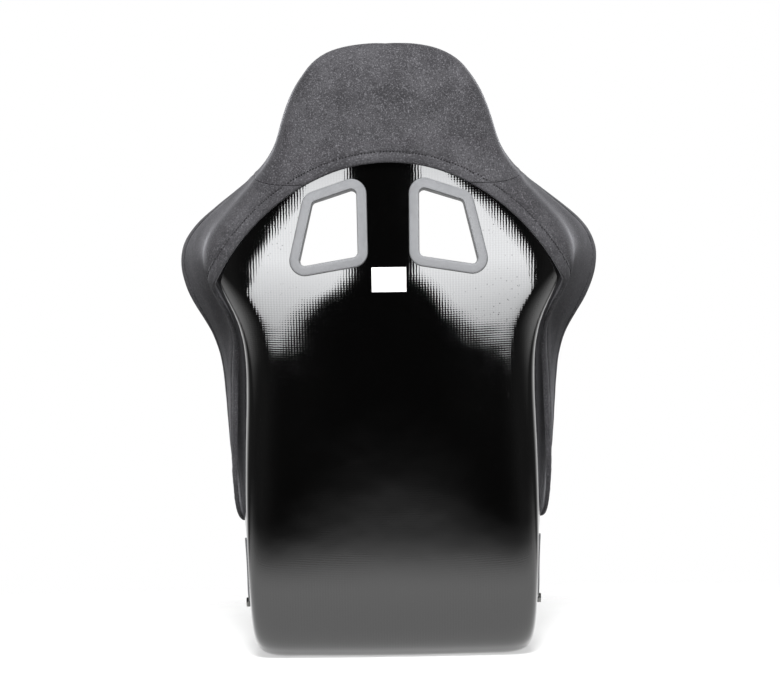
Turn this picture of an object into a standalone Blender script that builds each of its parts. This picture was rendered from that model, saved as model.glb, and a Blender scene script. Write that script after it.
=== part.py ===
"""Fixed-back racing seat: a glass-fibre shell, its fabric cover, padding, strap bezels and side-mount fastenings.

Metres, +Z up. The seat faces -Y and stands on z = 0, so its back is on the +Y side and +X is the sitter's left.

The shell is one smooth surface, surface(across, along, out). `across` runs from -1 at the right rim to 1 at the left
rim, `along` from 0 at the middle of the front edge, under the sitter and up the back, to 1 at the middle of the head's
top edge. `out` is the distance outwards from the shell's outer face. Everything that lies on the shell is placed by it.
"""

import math

import bmesh
import bpy
import numpy as np
from mathutils import Matrix, Vector
from mathutils.bvhtree import BVHTree

# --- Driving dimensions -------------------------------------------------------------------------------------------

WALL = 0.004  # laminate
FIT = 0.0004  # between two pieces that touch
PAD_FIT = 0.0007  # between padding and laminate
CORNER = 0.062  # how far from the edge the floor or back starts to turn into the side wall
PANEL_CROWN = 0.014  # how far the middle of the back bulges past its edges

# The shell's cross frames, from the front edge, under the sitter and up the back to the top of the head: (y, z) in the
# middle plane, (y, z) at the rim, half width of the floor or back, half width at the rim, share of the panel's crown,
# padding on the floor or back, padding on the side walls.
FRAMES = (
    ((-0.346, 0.116), (-0.346, 0.118), 0.000, 0.000, 0.0, 0.000, 0.000),  # middle of the front edge
    ((-0.345, 0.106), (-0.350, 0.128), 0.130, 0.168, 0.0, 0.022, 0.010),  # front lip
    ((-0.300, 0.052), (-0.322, 0.186), 0.186, 0.203, 0.0, 0.060, 0.022),  # knee end of the thigh walls
    ((-0.200, 0.006), (-0.214, 0.242), 0.205, 0.215, 0.0, 0.062, 0.034),
    ((-0.090, -0.006), (-0.112, 0.256), 0.203, 0.219, 0.0, 0.060, 0.038),  # middle of the pan
    ((0.030, -0.006), (-0.034, 0.258), 0.203, 0.222, 0.0, 0.058, 0.036),
    ((0.128, -0.002), (0.006, 0.266), 0.204, 0.226, 0.3, 0.056, 0.030),  # tail
    ((0.154, 0.090), (0.028, 0.306), 0.206, 0.230, 0.6, 0.052, 0.030),
    ((0.163, 0.185), (0.036, 0.356), 0.208, 0.233, 0.8, 0.050, 0.038),  # lumbar
    ((0.179, 0.285), (0.045, 0.410), 0.206, 0.235, 1.0, 0.044, 0.042),
    ((0.202, 0.385), (0.055, 0.470), 0.201, 0.246, 1.0, 0.036, 0.042),  # waist
    ((0.228, 0.475), (0.066, 0.530), 0.207, 0.291, 1.0, 0.030, 0.042),
    ((0.252, 0.555), (0.082, 0.602), 0.266, 0.300, 1.0, 0.026, 0.042),  # shoulders
    ((0.269, 0.625), (0.138, 0.655), 0.206, 0.220, 1.0, 0.026, 0.034),
    ((0.279, 0.690), (0.192, 0.702), 0.145, 0.150, 0.9, 0.036, 0.026),  # neck
    ((0.284, 0.752), (0.214, 0.762), 0.132, 0.136, 0.7, 0.044, 0.024),  # head
    ((0.284, 0.812), (0.232, 0.818), 0.104, 0.110, 0.5, 0.036, 0.020),
    ((0.272, 0.844), (0.250, 0.846), 0.066, 0.071, 0.2, 0.016, 0.010),
    ((0.258, 0.844), (0.257, 0.844), 0.000, 0.000, 0.0, 0.000, 0.000),  # middle of the head's top edge
)

ACROSS_STEPS = 10  # facets of the shell from its middle to its rim
ALONG_STEPS = 28  # facets from the front edge to the top of the head
POLE_ROWS = (0.1, 0.28, 0.56, 1.5)  # extra rows next to the front edge and the top edge, in lines
FLOOR_LINE = 4  # line across, of ACROSS_STEPS, where floor padding gives way to side padding
PAD_INSET = 0.0115  # from the rim to the padding's edge
PAD_EDGE = 0.62  # padding's height at its seams, as a share of its height in the middle
RIM_EDGE = 0.42  # the same beside the rim
SEAM = 0.0022  # half the gap between two pads
COVER_SEAM = 0.0018  # half the gap between two covers, as a share of the way along

# Padding from the front to the head: the lines of ALONG_STEPS between which each lies, or where it starts or ends
CUSHION_LINES = (1, 8)
THIGH_LINES = (2, 8)
HIP_LINES = (8, 10)
LUMBAR_LINES = (8, 13)
TORSO_START = 10
BACK_START = 13
HEAD_END = 26.5
PANEL_CLEAR = 0.002  # from the flange of a harness slot to the seam of the panel round it, at least

COVER = 0.006  # fabric with its foam backing
COVER_GAP = 0.0009  # between the cover and the laminate at the rim
COVER_SLACK = 0.0040  # how much further off the cover hangs away from the rim
SLACK_START = 0.1  # the share across from the rim by which it has that slack
COVER_LIP = 0.0075  # how far the cover reaches down inside the rim
LIP_LIFT = 0.22  # how far it moves off the laminate there, per metre of lip
ROLL_STEPS = 3  # facets of the cover round the rim
HEM_REACH = 0.072  # from the rim to the hem beside the thighs and torso
HEM_RISE = (0.52, 0.66, 0.075)  # where along the hem moves off towards the back, from and to, and how far
HEM_SNAP = 0.02  # a line across that is nearer than this past the hem lies on it
HEM_TOP = 0.6915  # height of the hem over the middle of the back
HEM_SPRING = 0.520  # height where the hem's arch starts
HEM_SPAN = 0.238  # half width of the hem's arch
HEM_POWER = 1.35  # how full the arch is: 2 is an ellipse
FRONT_SEAM = 2  # line along where the front cover meets the side covers
HEAD_SEAM = 22  # line along where the side covers meet the head cover

# Openings of the strap slots, as (across, up) corners in each slot's own plane, and the radius of their corners
HARNESS_HEIGHT = 0.6095  # height of the harness slots' centre on the back
HARNESS_SLOT = ((0.0425, 0.0495), (0.0420, -0.0430), (0.1235, -0.0560), (0.1020, 0.0305))
HARNESS_ROUND = 0.007
LAP_SLOT = (0.074, 0.028)  # length and width
LAP_ALONG = 9.0  # its centre, in lines along
LAP_ACROSS = 0.76
LAP_ROUND = 0.010
CROTCH_SLOT = (0.062, 0.024)
CROTCH_ALONG = 2.7
CROTCH_ROUND = 0.009

HARNESS_BEZEL = (0.014, 0.0045)  # width of the flange and its height
SMALL_BEZEL = (0.009, 0.0028)  # the same for the other slots
BEZEL_FIT = 0.0008  # between a bezel and the curved face that it lies on
FLANGE_BEVEL = 0.003  # width of the slanted edge of a flange
COLLAR = 0.0022  # wall of the collar that lines a slot
COLLAR_FIT = 0.0006
COLLAR_DEPTH = 0.010  # how deep a rear collar reaches from the outer face
SLOT_CUT = (0.09, 0.03)  # how far the cut of a slot reaches inwards and outwards
PROBE = 0.15  # how far off the laminate the search for a surface to lie on starts
ROUND_STEPS = 3  # facets in each rounded corner
SIDE_STEPS = 3  # facets along each straight side

LABEL = (0.0470, 0.0330, 0.0006)  # width, height, thickness
LABEL_PLACE = (0.0, 0.535)  # x and z of its middle

BOLT_PLACES = ((0.030, 0.073), (-0.180, 0.084))  # y and z of the side-mount bolts
BOSS_FACE = 0.2078  # half distance between the side-mount faces
BOSS = (0.0115, 0.050, 0.042)  # thickness, length, height of the moulded pad that carries a side mount
BOLT_THREAD = 0.008
BOLT_HOLE = 0.009
BOLT_HEAD = (0.013, 0.0053)  # across flats, height
BOLT_LENGTH = 0.025
WASHER = (0.016, 0.0016)
PLATE = (0.003, 0.048, 0.034)
NUT_HEIGHT = 0.0065
RECESS_FIT = 0.003  # room for plate and nut in the padding

MATERIALS = {
    "gel_coat": ((0.008, 0.008, 0.009), 0.08, 0.0),
    "cover_fabric": ((0.10, 0.10, 0.11), 0.95, 0.0),
    "pad_fabric": ((0.075, 0.075, 0.082), 0.95, 0.0),
    "bezel_plastic": ((0.42, 0.42, 0.43), 0.45, 0.0),
    "label_foil": ((0.95, 0.95, 0.94), 0.5, 0.0),
    "zinc_steel": ((0.55, 0.55, 0.53), 0.35, 1.0),
}

# --- The shell's surface ------------------------------------------------------------------------------------------


def spline_weights(count, places):
    """Weights of `count` control points of a cubic spline that reaches its two end points, at places from 0 to 1."""
    degree = 3
    inner = np.linspace(0, 1, count - degree + 1)
    knots = np.concatenate((np.zeros(degree), inner, np.ones(degree)))
    places = np.clip(places, 0, 1 - 1e-9)
    basis = [((low <= places) & (places < high)).astype(float) for low, high in zip(knots, knots[1:])]
    for step in range(1, degree + 1):
        for i in range(count + degree - step):
            rise = knots[i + step] - knots[i]
            fall = knots[i + step + 1] - knots[i + 1]
            value = np.zeros_like(places)
            if rise > 0:
                value = value + (places - knots[i]) / rise * basis[i]
            if fall > 0:
                value = value + (knots[i + step + 1] - places) / fall * basis[i + 1]
            basis[i] = value
    return np.stack(basis[:count], axis=-1)


def half_frame(spine, rim, panel, brim, crown, floor_pad, side_pad, padded):
    """Control points of a cross frame of the laminate, or of the padding's face, from the middle plane to the rim."""
    spine, rim = np.array(spine), np.array(rim)
    depth = np.linalg.norm(rim - spine)
    toward_rim = (rim - spine) / max(depth, 1e-9)
    bulge = min(crown * PANEL_CROWN, depth * 0.2)
    turn = min(CORNER, depth * 0.35, panel * 0.35)
    foot = bulge + turn
    wall = depth - foot
    flare = brim - panel
    low, side = (floor_pad, side_pad) if padded else (0.0, 0.0)
    outline = (
        (0, low),
        ((panel - turn) * 0.5, bulge * 0.15 + low),
        (panel - turn - side * 0.4, bulge * 0.7 + low),
        (panel - side, bulge + low),
        (panel - side, foot + low * 0.6),
        (panel + flare * 0.25 - side, foot + wall * 0.4 + low * 0.2),
        (panel + flare * 0.72 - side * 0.8, foot + wall * 0.8),
        (brim - side * 0.35, depth),
    )
    return [(x, *(spine + toward_rim * rise)) for x, rise in outline]


def cage(padded):
    halves = np.array([half_frame(*frame, padded) for frame in FRAMES])
    mirrored = halves[:, :0:-1] * (-1, 1, 1)
    return np.concatenate((mirrored, halves), axis=1)


SHELL_CAGE = cage(padded=False)
PADDING_CAGE = cage(padded=True)


def smooth_point(across, along, points=SHELL_CAGE):
    """Points of the surface that a cage of control points spans."""
    weights_across = spline_weights(points.shape[1], (across + 1) / 2)
    weights_along = spline_weights(points.shape[0], along)
    return np.einsum("...i,...j,ijk->...k", weights_along, weights_across, points)


def unit(vectors):
    return vectors / np.linalg.norm(vectors, axis=-1, keepdims=True)


def at_pole(along):
    """Whether a place is in the middle of the front edge or of the top edge, where all lines across meet."""
    return (along < 1e-6) | (along > 1 - 1e-6)


def outward(across, along):
    """Unit normals of the shell, away from the sitter."""
    step = 1e-3
    across = np.where(at_pole(along), 0, np.clip(across, step - 1, 1 - step))
    along = np.clip(along, 0.012, 0.988)
    run = smooth_point(across + step, along) - smooth_point(across - step, along)
    rise = smooth_point(across, along + step) - smooth_point(across, along - step)
    return unit(np.cross(rise, run))


def surface(across, along, out):
    """Points at the distance `out` from the shell's outer face, which is flat where it would dip below z = 0."""
    across, along, out = np.broadcast_arrays(np.asarray(across, float), np.asarray(along, float), out)
    point = smooth_point(across, along)
    point[..., 2] = np.maximum(point[..., 2], 0)
    return point + outward(across, along) * out[..., None]


def rim_outward(side, along):
    """Unit vectors in the laminate's plane, square to the rim and away from it, on the side +1 or -1."""
    step = 1e-3
    before = smooth_point(side, np.clip(along - step, 0, 1))
    tangent = smooth_point(side, np.clip(along + step, 0, 1)) - before
    tangent[at_pole(along), 1:] = 0
    return unit(np.cross(outward(side, along), tangent)) * side[..., None]


def line_at(along, distance):
    """The line across that lies at a distance, measured on the surface, inside the left rim."""
    samples = np.linspace(0, 1, 241)
    lines = []
    for place, reach in np.broadcast(along, distance):
        row = smooth_point(samples, np.full_like(samples, place))
        lengths = np.concatenate(([0], np.cumsum(np.linalg.norm(np.diff(row, axis=0), axis=1))))
        lines.append(np.interp(lengths[-1] - reach, lengths, samples))
    return np.array(lines)


def along_rows():
    """The shell's rows: evenly spaced, with closer ones next to the two poles, where the rim turns fast."""
    near_pole = np.array(POLE_ROWS) / ALONG_STEPS
    even = np.arange(ALONG_STEPS + 1) / ALONG_STEPS
    return np.sort(np.concatenate((even, near_pole, 1 - near_pole)))


def row_of(line):
    """The row of a line that is numbered from 0 at the front edge to ALONG_STEPS at the top edge."""
    return int(np.argmin(np.abs(ALONG - line / ALONG_STEPS)))


ALONG = along_rows()
EDGE_LINE = np.clip(line_at(ALONG, PAD_INSET), 0.8, 0.985)


def across_at(line, row):
    """`across` of a line of the shell's grid, numbered outwards from the middle; the last but one follows the rim."""
    line = np.asarray(line)
    size = np.abs(line)
    spread = np.minimum(1, EDGE_LINE[row] / (1 - 0.5 / ACROSS_STEPS))
    place = np.where(size == ACROSS_STEPS, EDGE_LINE[row], size / ACROSS_STEPS * spread)
    return np.sign(line) * np.where(size > ACROSS_STEPS, 1.0, place)


RIM = ACROSS_STEPS + 1  # the rim's line
EDGE = ACROSS_STEPS  # the line that padding reaches

# --- Making objects -----------------------------------------------------------------------------------------------


def new_collection(name):
    collection = bpy.data.collections.new(name)
    bpy.context.scene.collection.children.link(collection)
    return collection


def clear_scene():
    for old in list(bpy.data.objects):
        bpy.data.objects.remove(old, do_unlink=True)


def new_material(name):
    colour, roughness, metallic = MATERIALS[name]
    material = bpy.data.materials.new(name)
    material.use_nodes = True
    shader = material.node_tree.nodes["Principled BSDF"]
    shader.inputs["Base Color"].default_value = (*colour, 1)
    shader.inputs["Roughness"].default_value = roughness
    shader.inputs["Metallic"].default_value = metallic
    return material


clear_scene()
PARTS = new_collection("racing_seat")
CUTTERS = new_collection("cutters")


def add_object(name, mesh, finish, collection=PARTS):
    """Puts a bmesh in the scene as a named object."""
    bmesh.ops.recalc_face_normals(mesh, faces=mesh.faces[:])
    data = bpy.data.meshes.new(name)
    mesh.to_mesh(data)
    mesh.free()
    item = bpy.data.objects.new(name, data)
    if finish:
        item.data.materials.append(new_material(finish))
    collection.objects.link(item)
    return item


def grid_solid(name, columns, rows, place, finish):
    """A closed solid between two grids: place(column, row, level) gives the points of level 0 and of level 1."""
    mesh = bmesh.new()
    bmesh.ops.create_grid(mesh, x_segments=columns, y_segments=rows, size=0.5)
    bmesh.ops.triangulate(mesh, faces=mesh.faces[:], quad_method="FIXED")
    column = mesh.verts.layers.int.new("column")
    row = mesh.verts.layers.int.new("row")
    for vert in mesh.verts:
        vert[column] = round((vert.co.x + 0.5) * columns)
        vert[row] = round((vert.co.y + 0.5) * rows)

    def move(verts, level):
        columns_of, rows_of = (np.array([vert[layer] for vert in verts]) for layer in (column, row))
        for vert, point in zip(verts, place(columns_of, rows_of, np.full(len(verts), level))):
            vert.co = point

    move(mesh.verts[:], 0.0)
    bmesh.ops.remove_doubles(mesh, verts=mesh.verts[:], dist=1e-6)
    grown = bmesh.ops.extrude_face_region(mesh, geom=mesh.faces[:])["geom"]
    move([item for item in grown if isinstance(item, bmesh.types.BMVert)], 1.0)
    return add_object(name, mesh, finish)


def ring_solid(name, loops, finish):
    """A closed ring swept through closed loops of points, the last of which joins the first."""
    loops = np.array(loops)
    columns, rows = loops.shape[:2]
    mesh = bmesh.new()
    bmesh.ops.create_grid(mesh, x_segments=columns, y_segments=rows, size=0.5)
    for vert in mesh.verts:
        column = round((vert.co.x + 0.5) * columns) % columns
        row = round((vert.co.y + 0.5) * rows) % rows
        vert.co = loops[column, row]
    bmesh.ops.remove_doubles(mesh, verts=mesh.verts[:], dist=1e-6)
    return add_object(name, mesh, finish)


def cut(target, cutter, operation="DIFFERENCE"):
    modifier = target.modifiers.new(cutter.name, "BOOLEAN")
    modifier.operation = operation
    modifier.solver = "EXACT"
    modifier.object = cutter


def hide_cutter(cutter):
    cutter.hide_render = True
    cutter.display_type = "WIRE"
    return cutter


def box_mesh(size):
    mesh = bmesh.new()
    bmesh.ops.create_cube(mesh, size=1, matrix=Matrix.Diagonal((*size, 1)))
    return mesh


def tree_of(item):
    """Ray casting on an object's mesh, before its modifiers."""
    mesh = bmesh.new()
    mesh.from_mesh(item.data)
    tree = BVHTree.FromBMesh(mesh)
    mesh.free()
    return tree


# --- Shell --------------------------------------------------------------------------------------------------------


def make_shell():
    def place(column, row, level):
        return surface(across_at(column - RIM, row), ALONG[row], -WALL * (1 - level))

    return grid_solid("shell", 2 * RIM, len(ALONG) - 1, place, "gel_coat")


def make_bosses(shell):
    """Moulded pads, flat on both sides, where the side mounts are bolted on."""
    for side in (1, -1):
        for number, (y, z) in enumerate(BOLT_PLACES):
            boss = add_object(f"boss_{side}_{number}", box_mesh(BOSS), None, CUTTERS)
            boss.location = (side * (BOSS_FACE - BOSS[0] / 2), y, z)
            cut(shell, hide_cutter(boss), "UNION")


# --- Padding ------------------------------------------------------------------------------------------------------


def make_pad(name, lines, rows):
    """Padding between the laminate and the padding's face, crowned between its seams."""
    columns = lines[1] - lines[0]
    first = row_of(rows[0])
    length = row_of(rows[1]) - first

    def back_and_face(column, row):
        across = across_at(column + lines[0], row + first)
        along = ALONG[row + first]
        back = surface(across, along, -WALL - PAD_FIT)
        face = smooth_point(across, along, PADDING_CAGE)
        thickness = np.linalg.norm(face - back, axis=-1, keepdims=True)
        beside_rim = np.abs(column + lines[0]) == EDGE
        face = np.where(beside_rim[:, None], back - outward(across, along) * thickness, face)
        edge = np.where(beside_rim, RIM_EDGE, PAD_EDGE)
        crown = (1 - (2 * column / columns - 1) ** 4) * (1 - (2 * row / length - 1) ** 4)
        return back, back + (face - back) * (edge + (1 - edge) * crown)[:, None]

    def place(column, row, level):
        ends = (column == 0) * 1 - (column == columns) * 1, (row == 0) * 1 - (row == length) * 1
        here = back_and_face(column, row)
        inner = back_and_face(column + ends[0], row + ends[1])
        reach = np.linalg.norm(inner[0] - here[0], axis=-1)
        share = SEAM * np.hypot(*ends) / np.maximum(reach, SEAM)
        back, face = (a + (b - a) * share[:, None] for a, b in zip(here, inner))
        return back + (face - back) * level[:, None]

    return grid_solid(name, columns, length, place, "pad_fabric")


def harness_lines():
    """The lines round the harness panel: across, then along below and above its slots."""
    lines = np.arange(BACK_START, ALONG_STEPS)
    middle = np.zeros(len(lines))
    heights = smooth_point(middle, lines / ALONG_STEPS)[:, 2]
    face_heights = smooth_point(middle, lines / ALONG_STEPS, PADDING_CAGE)[:, 2]
    clear = HARNESS_BEZEL[0] + PANEL_CLEAR
    rises = [rise for _, rise in HARNESS_SLOT]
    low = lines[np.maximum(heights, face_heights) < HARNESS_HEIGHT + min(rises) - clear].max()
    high = lines[np.minimum(heights, face_heights) > HARNESS_HEIGHT + max(rises) + clear].min()
    samples = np.linspace(0, 1, 201)
    reach = 0
    for x, rise in HARNESS_SLOT:
        along = np.interp(HARNESS_HEIGHT + rise, heights, lines / ALONG_STEPS)
        row = smooth_point(samples, np.full_like(samples, along))
        reach = max(reach, samples[row[:, 0] < x + clear].max())
    return math.ceil(reach * ACROSS_STEPS), int(low), int(high)


def make_padding():
    middle = (-FLOOR_LINE, FLOOR_LINE)
    harness, low, high = harness_lines()
    pads = {
        "seat_cushion": make_pad("seat_cushion", middle, CUSHION_LINES),
        "lumbar_pad": make_pad("lumbar_pad", middle, LUMBAR_LINES),
        "back_pad": make_pad("back_pad", middle, (BACK_START, low)),
        "harness_panel": make_pad("harness_panel", (-harness, harness), (low, high)),
        "head_pad": make_pad("head_pad", (-EDGE, EDGE), (high, HEAD_END)),
    }
    sides = (
        ("thigh_bolster", FLOOR_LINE, THIGH_LINES),
        ("hip_pad", FLOOR_LINE, HIP_LINES),
        ("torso_bolster", FLOOR_LINE, (TORSO_START, low)),
        ("shoulder_pad", harness, (low, high)),
    )
    for name, line, rows in sides:
        pads[f"{name}_left"] = make_pad(f"{name}_left", (line, EDGE), rows)
        pads[f"{name}_right"] = make_pad(f"{name}_right", (-EDGE, -line), rows)
    return pads


# --- Fabric cover -------------------------------------------------------------------------------------------------


def cover_point(across, along, turn, lip, level):
    """Points of the cover: on the shell's outer face, then round the rim by `turn`, then `lip` down its inner side."""
    side = np.where(across < 0, -1.0, 1.0)
    slack = COVER_SLACK * np.clip((1 - np.abs(across)) / SLACK_START, 0, 1)
    skin = surface(across, along, COVER_GAP + slack + COVER * level)
    middle = surface(side, along, -WALL / 2)
    radius = (WALL / 2 + COVER_GAP + COVER * level)[:, None]
    normal = outward(side, along)
    away = rim_outward(side, along)
    roll = middle + radius * (np.cos(turn)[:, None] * normal + np.sin(turn)[:, None] * away)
    roll = roll - (away + normal * LIP_LIFT) * lip[:, None]
    return np.where((np.abs(across) < 1)[:, None], skin, roll)


def arch_half_width(height):
    share = np.clip((height - HEM_SPRING) / (HEM_TOP - HEM_SPRING), 0, 1)
    return HEM_SPAN * np.sqrt(1 - share**HEM_POWER)


def hem_line(along):
    """The line across of the hem: a set distance inside the rim, and an arch over the upper back."""
    samples = np.linspace(0, 1, 401)
    lines = []
    start, end, extra = HEM_RISE
    rise = np.clip((along - start) / (end - start), 0, 1)
    reach_along = HEM_REACH + extra * rise**2 * (3 - 2 * rise)
    for place, reach in zip(along, line_at(along, reach_along)):
        row = smooth_point(samples, np.full_like(samples, place))
        bare = (row[:, 0] < arch_half_width(row[:, 2])) | (row[:, 2] < HEM_SPRING)
        lines.append(min(reach, samples[bare].max(initial=0)))
    return np.array(lines)


def hem_height(across):
    """`along` of the hem on a line across the head cover, which ends at its side seams elsewhere."""
    seam = ALONG[row_of(HEAD_SEAM)]
    samples = np.linspace(seam, ALONG[row_of(HEAD_SEAM + 3)], 301)
    heights = []
    for place in across:
        line = smooth_point(np.full_like(samples, place), samples)
        bare = np.abs(line[:, 0]) < arch_half_width(line[:, 2])
        heights.append(samples[bare].max(initial=seam))
    return np.array(heights)


def roll_columns():
    """Turn and lip of the columns past the rim: round it, then down inside."""
    turns = np.pi * np.arange(1, ROLL_STEPS + 1) / ROLL_STEPS
    return np.append(turns, np.pi), np.append(np.zeros(ROLL_STEPS), COVER_LIP)


def make_full_cover(name, first, last, low_edge):
    """A cover that passes over the middle of the seat, rolled round the rim on both sides."""
    turns, lips = roll_columns()
    lines = np.arange(-RIM, RIM + 1)
    no_turn = np.zeros(len(lines))
    turn = np.concatenate((turns[::-1], no_turn, turns))
    lip = np.concatenate((lips[::-1], no_turn, lips))
    line = np.concatenate((np.full(len(turns), -RIM), lines, np.full(len(turns), RIM)))
    first, last = row_of(first), row_of(last)
    low = low_edge(across_at(line, np.full(len(line), first)))

    def place(column, row, level):
        across = across_at(line[column], row + first)
        along = ALONG[row + first]
        along = along + (low[column] - ALONG[first]) * (ALONG[last] - along) / (ALONG[last] - ALONG[first])
        return cover_point(across, along, turn[column], lip[column], level)

    return grid_solid(name, len(line) - 1, last - first, place, "cover_fabric")


def make_side_cover(name, side):
    """A cover from the hem round the rim. It shares the shell's lines, but starts at the hem where that is further."""
    turns, lips = roll_columns()
    rows = np.arange(row_of(FRONT_SEAM), row_of(HEAD_SEAM) + 1)
    along = ALONG[rows]
    along[0] += COVER_SEAM
    along[-1] -= COVER_SEAM
    hem = hem_line(along)
    first = int(hem.min() * ACROSS_STEPS)
    lines = np.arange(first, RIM + 1)
    turn = np.concatenate((np.zeros(len(lines)), turns))
    lip = np.concatenate((np.zeros(len(lines)), lips))
    line = np.concatenate((lines, np.full(len(turns), RIM)))

    def place(column, row, level):
        across = across_at(line[column], rows[row])
        across = side * np.where(across < hem[row] + HEM_SNAP, hem[row], across)
        return cover_point(across, along[row], turn[column], lip[column], level)

    return grid_solid(name, len(line) - 1, len(along) - 1, place, "cover_fabric")


def make_covers():
    make_full_cover("front_cover", 0, FRONT_SEAM, np.zeros_like)
    make_full_cover("head_cover", HEAD_SEAM, ALONG_STEPS, hem_height)
    make_side_cover("side_cover_left", 1)
    make_side_cover("side_cover_right", -1)


# --- Strap slots --------------------------------------------------------------------------------------------------


class SlotSeat:
    """The plane of a slot: its centre on the outer face, its axis out of the seat, and its own across and up."""

    def __init__(self, across, along, axis, reach):
        self.centre = Vector(surface(across, along, 0.0))
        self.axis = Vector(axis).normalized()
        self.across = (Vector(reach) - self.axis * Vector(reach).dot(self.axis)).normalized()
        self.up = self.axis.cross(self.across).normalized()

    def spot(self, corner):
        return self.centre + self.across * corner[0] + self.up * corner[1]

    def on(self, tree, corner, from_outside):
        """Where a line along the axis through a corner meets a surface."""
        far = self.axis * (PROBE if from_outside else -PROBE)
        hit = tree.ray_cast(self.spot(corner) + far, -far.normalized())[0]
        return hit


def rectangle(size):
    half = (size[0] / 2, size[1] / 2)
    return ((-half[0], -half[1]), (half[0], -half[1]), (half[0], half[1]), (-half[0], half[1]))


def rounded(corners, radius, grow=0.0):
    """A convex outline moved outwards by `grow`, its corners rounded to radius + grow, anticlockwise."""
    points = [Vector(corner) for corner in corners]
    area = sum(a.x * b.y - a.y * b.x for a, b in zip(points, points[1:] + points[:1]))
    if area < 0:
        points.reverse()
    outline = []
    for before, corner, after in zip(points[-1:] + points[:-1], points, points[1:] + points[:1]):
        way_in = (corner - before).normalized()
        way_out = (after - corner).normalized()
        opening = way_in.angle(way_out)
        back = radius * math.tan(opening / 2)
        square = Vector((way_in.y, -way_in.x))
        middle = corner - way_in * back - square * radius
        for step in range(ROUND_STEPS + 1):
            angle = opening * step / ROUND_STEPS
            outline.append(middle + Matrix.Rotation(angle, 2) @ square * (radius + grow))
    return with_side_points(outline)


def with_side_points(outline):
    """Adds points on the straight sides, so that a ring can follow a curved surface."""
    full = []
    for number, (end, start) in enumerate(zip(outline, outline[1:] + outline[:1])):
        steps = SIDE_STEPS if number % (ROUND_STEPS + 1) == ROUND_STEPS else 1
        full += [end.lerp(start, step / steps) for step in range(steps)]
    return full


def slot_cutter(name, seat, corners, radius):
    """A prism through laminate and padding, as large as the collar that lines the slot."""
    inside, outside = SLOT_CUT
    mesh = bmesh.new()
    outline = rounded(corners, radius, COLLAR + COLLAR_FIT)
    verts = [mesh.verts.new(seat.spot(corner) + seat.axis * outside) for corner in outline]
    face = mesh.faces.new(verts)
    grown = bmesh.ops.extrude_face_region(mesh, geom=[face])["geom"]
    moved = [item for item in grown if isinstance(item, bmesh.types.BMVert)]
    bmesh.ops.translate(mesh, verts=moved, vec=-seat.axis * (inside + outside))
    return hide_cutter(add_object(name, mesh, None, CUTTERS))


def make_bezel(name, seat, corners, radius, size, outer, depth, inner=None):
    """A flanged ring that lines a slot. It lies on `outer`, or where `inner` is given on that, on the sitter's side."""
    tree = inner or outer
    out = -1 if inner else 1
    flange, height = size
    section = (
        (0.0, height * 0.8),
        (COLLAR * 0.8, height),
        (flange - FLANGE_BEVEL, height * 0.8),
        (flange, BEZEL_FIT),
        (COLLAR, BEZEL_FIT),
    )
    loops = []
    for grow, height in section:
        ring = rounded(corners, radius, grow)
        loops.append([seat.on(tree, spot, not inner) + seat.axis * height * out for spot in ring])
    for grow in (COLLAR, 0.0):
        ring = rounded(corners, radius, grow)
        loops.append([seat.on(outer, spot, True) - seat.axis * depth for spot in ring])
    return ring_solid(name, loops, "bezel_plastic")


def cut_slot(name, seat, corners, radius, targets):
    cutter = slot_cutter(f"{name}_hole", seat, corners, radius)
    for target in targets:
        cut(target, cutter)


def make_harness_slots(shell, pads):
    shell_tree, panel_tree = tree_of(shell), tree_of(pads["harness_panel"])
    heights = smooth_point(np.zeros_like(ALONG), ALONG)[:, 2]
    upper = slice(ALONG_STEPS // 2, ALONG_STEPS - 1)
    along = float(np.interp(HARNESS_HEIGHT, heights[upper], ALONG[upper]))
    seat = SlotSeat(0.0, along, (0, 1, 0), (-1, 0, 0))
    for side, name in ((-1, "left"), (1, "right")):
        corners = [(side * x, up) for x, up in HARNESS_SLOT]
        shape = (seat, corners, HARNESS_ROUND)
        make_bezel(f"harness_bezel_rear_{name}", *shape, HARNESS_BEZEL, shell_tree, COLLAR_DEPTH)
        depth = COLLAR_DEPTH + FIT
        make_bezel(f"harness_bezel_front_{name}", *shape, HARNESS_BEZEL, shell_tree, depth, panel_tree)
        cut_slot(f"harness_{name}", *shape, (shell, pads["harness_panel"]))


def make_lap_slots(shell, pads):
    shell_tree = tree_of(shell)
    for side, name in ((1, "left"), (-1, "right")):
        along = LAP_ALONG / ALONG_STEPS
        axis = outward(np.array(side * LAP_ACROSS), np.array(along))
        low, high = (Vector(smooth_point(np.array(side * a), np.array(along))) for a in (0.6, 0.9))
        seat = SlotSeat(side * LAP_ACROSS, along, axis, high - low)
        pad = pads[f"hip_pad_{name}"]
        shape = (seat, rectangle(LAP_SLOT), LAP_ROUND)
        make_bezel(f"lap_bezel_outer_{name}", *shape, SMALL_BEZEL, shell_tree, COLLAR_DEPTH)
        depth = COLLAR_DEPTH + FIT
        make_bezel(f"lap_bezel_inner_{name}", *shape, SMALL_BEZEL, shell_tree, depth, tree_of(pad))
        cut_slot(f"lap_{name}", *shape, (shell, pad))


def make_crotch_slot(shell, pads):
    seat = SlotSeat(0.0, CROTCH_ALONG / ALONG_STEPS, (0, 0, -1), (1, 0, 0))
    shape = (seat, rectangle(CROTCH_SLOT), CROTCH_ROUND)
    shell_tree, cushion = tree_of(shell), pads["seat_cushion"]
    make_bezel("crotch_bezel_lower", *shape, SMALL_BEZEL, shell_tree, WALL)
    depth = WALL + FIT
    make_bezel("crotch_bezel_upper", *shape, SMALL_BEZEL, shell_tree, depth, tree_of(cushion))
    cut_slot("crotch", *shape, (shell, cushion))


# --- Label --------------------------------------------------------------------------------------------------------


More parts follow.
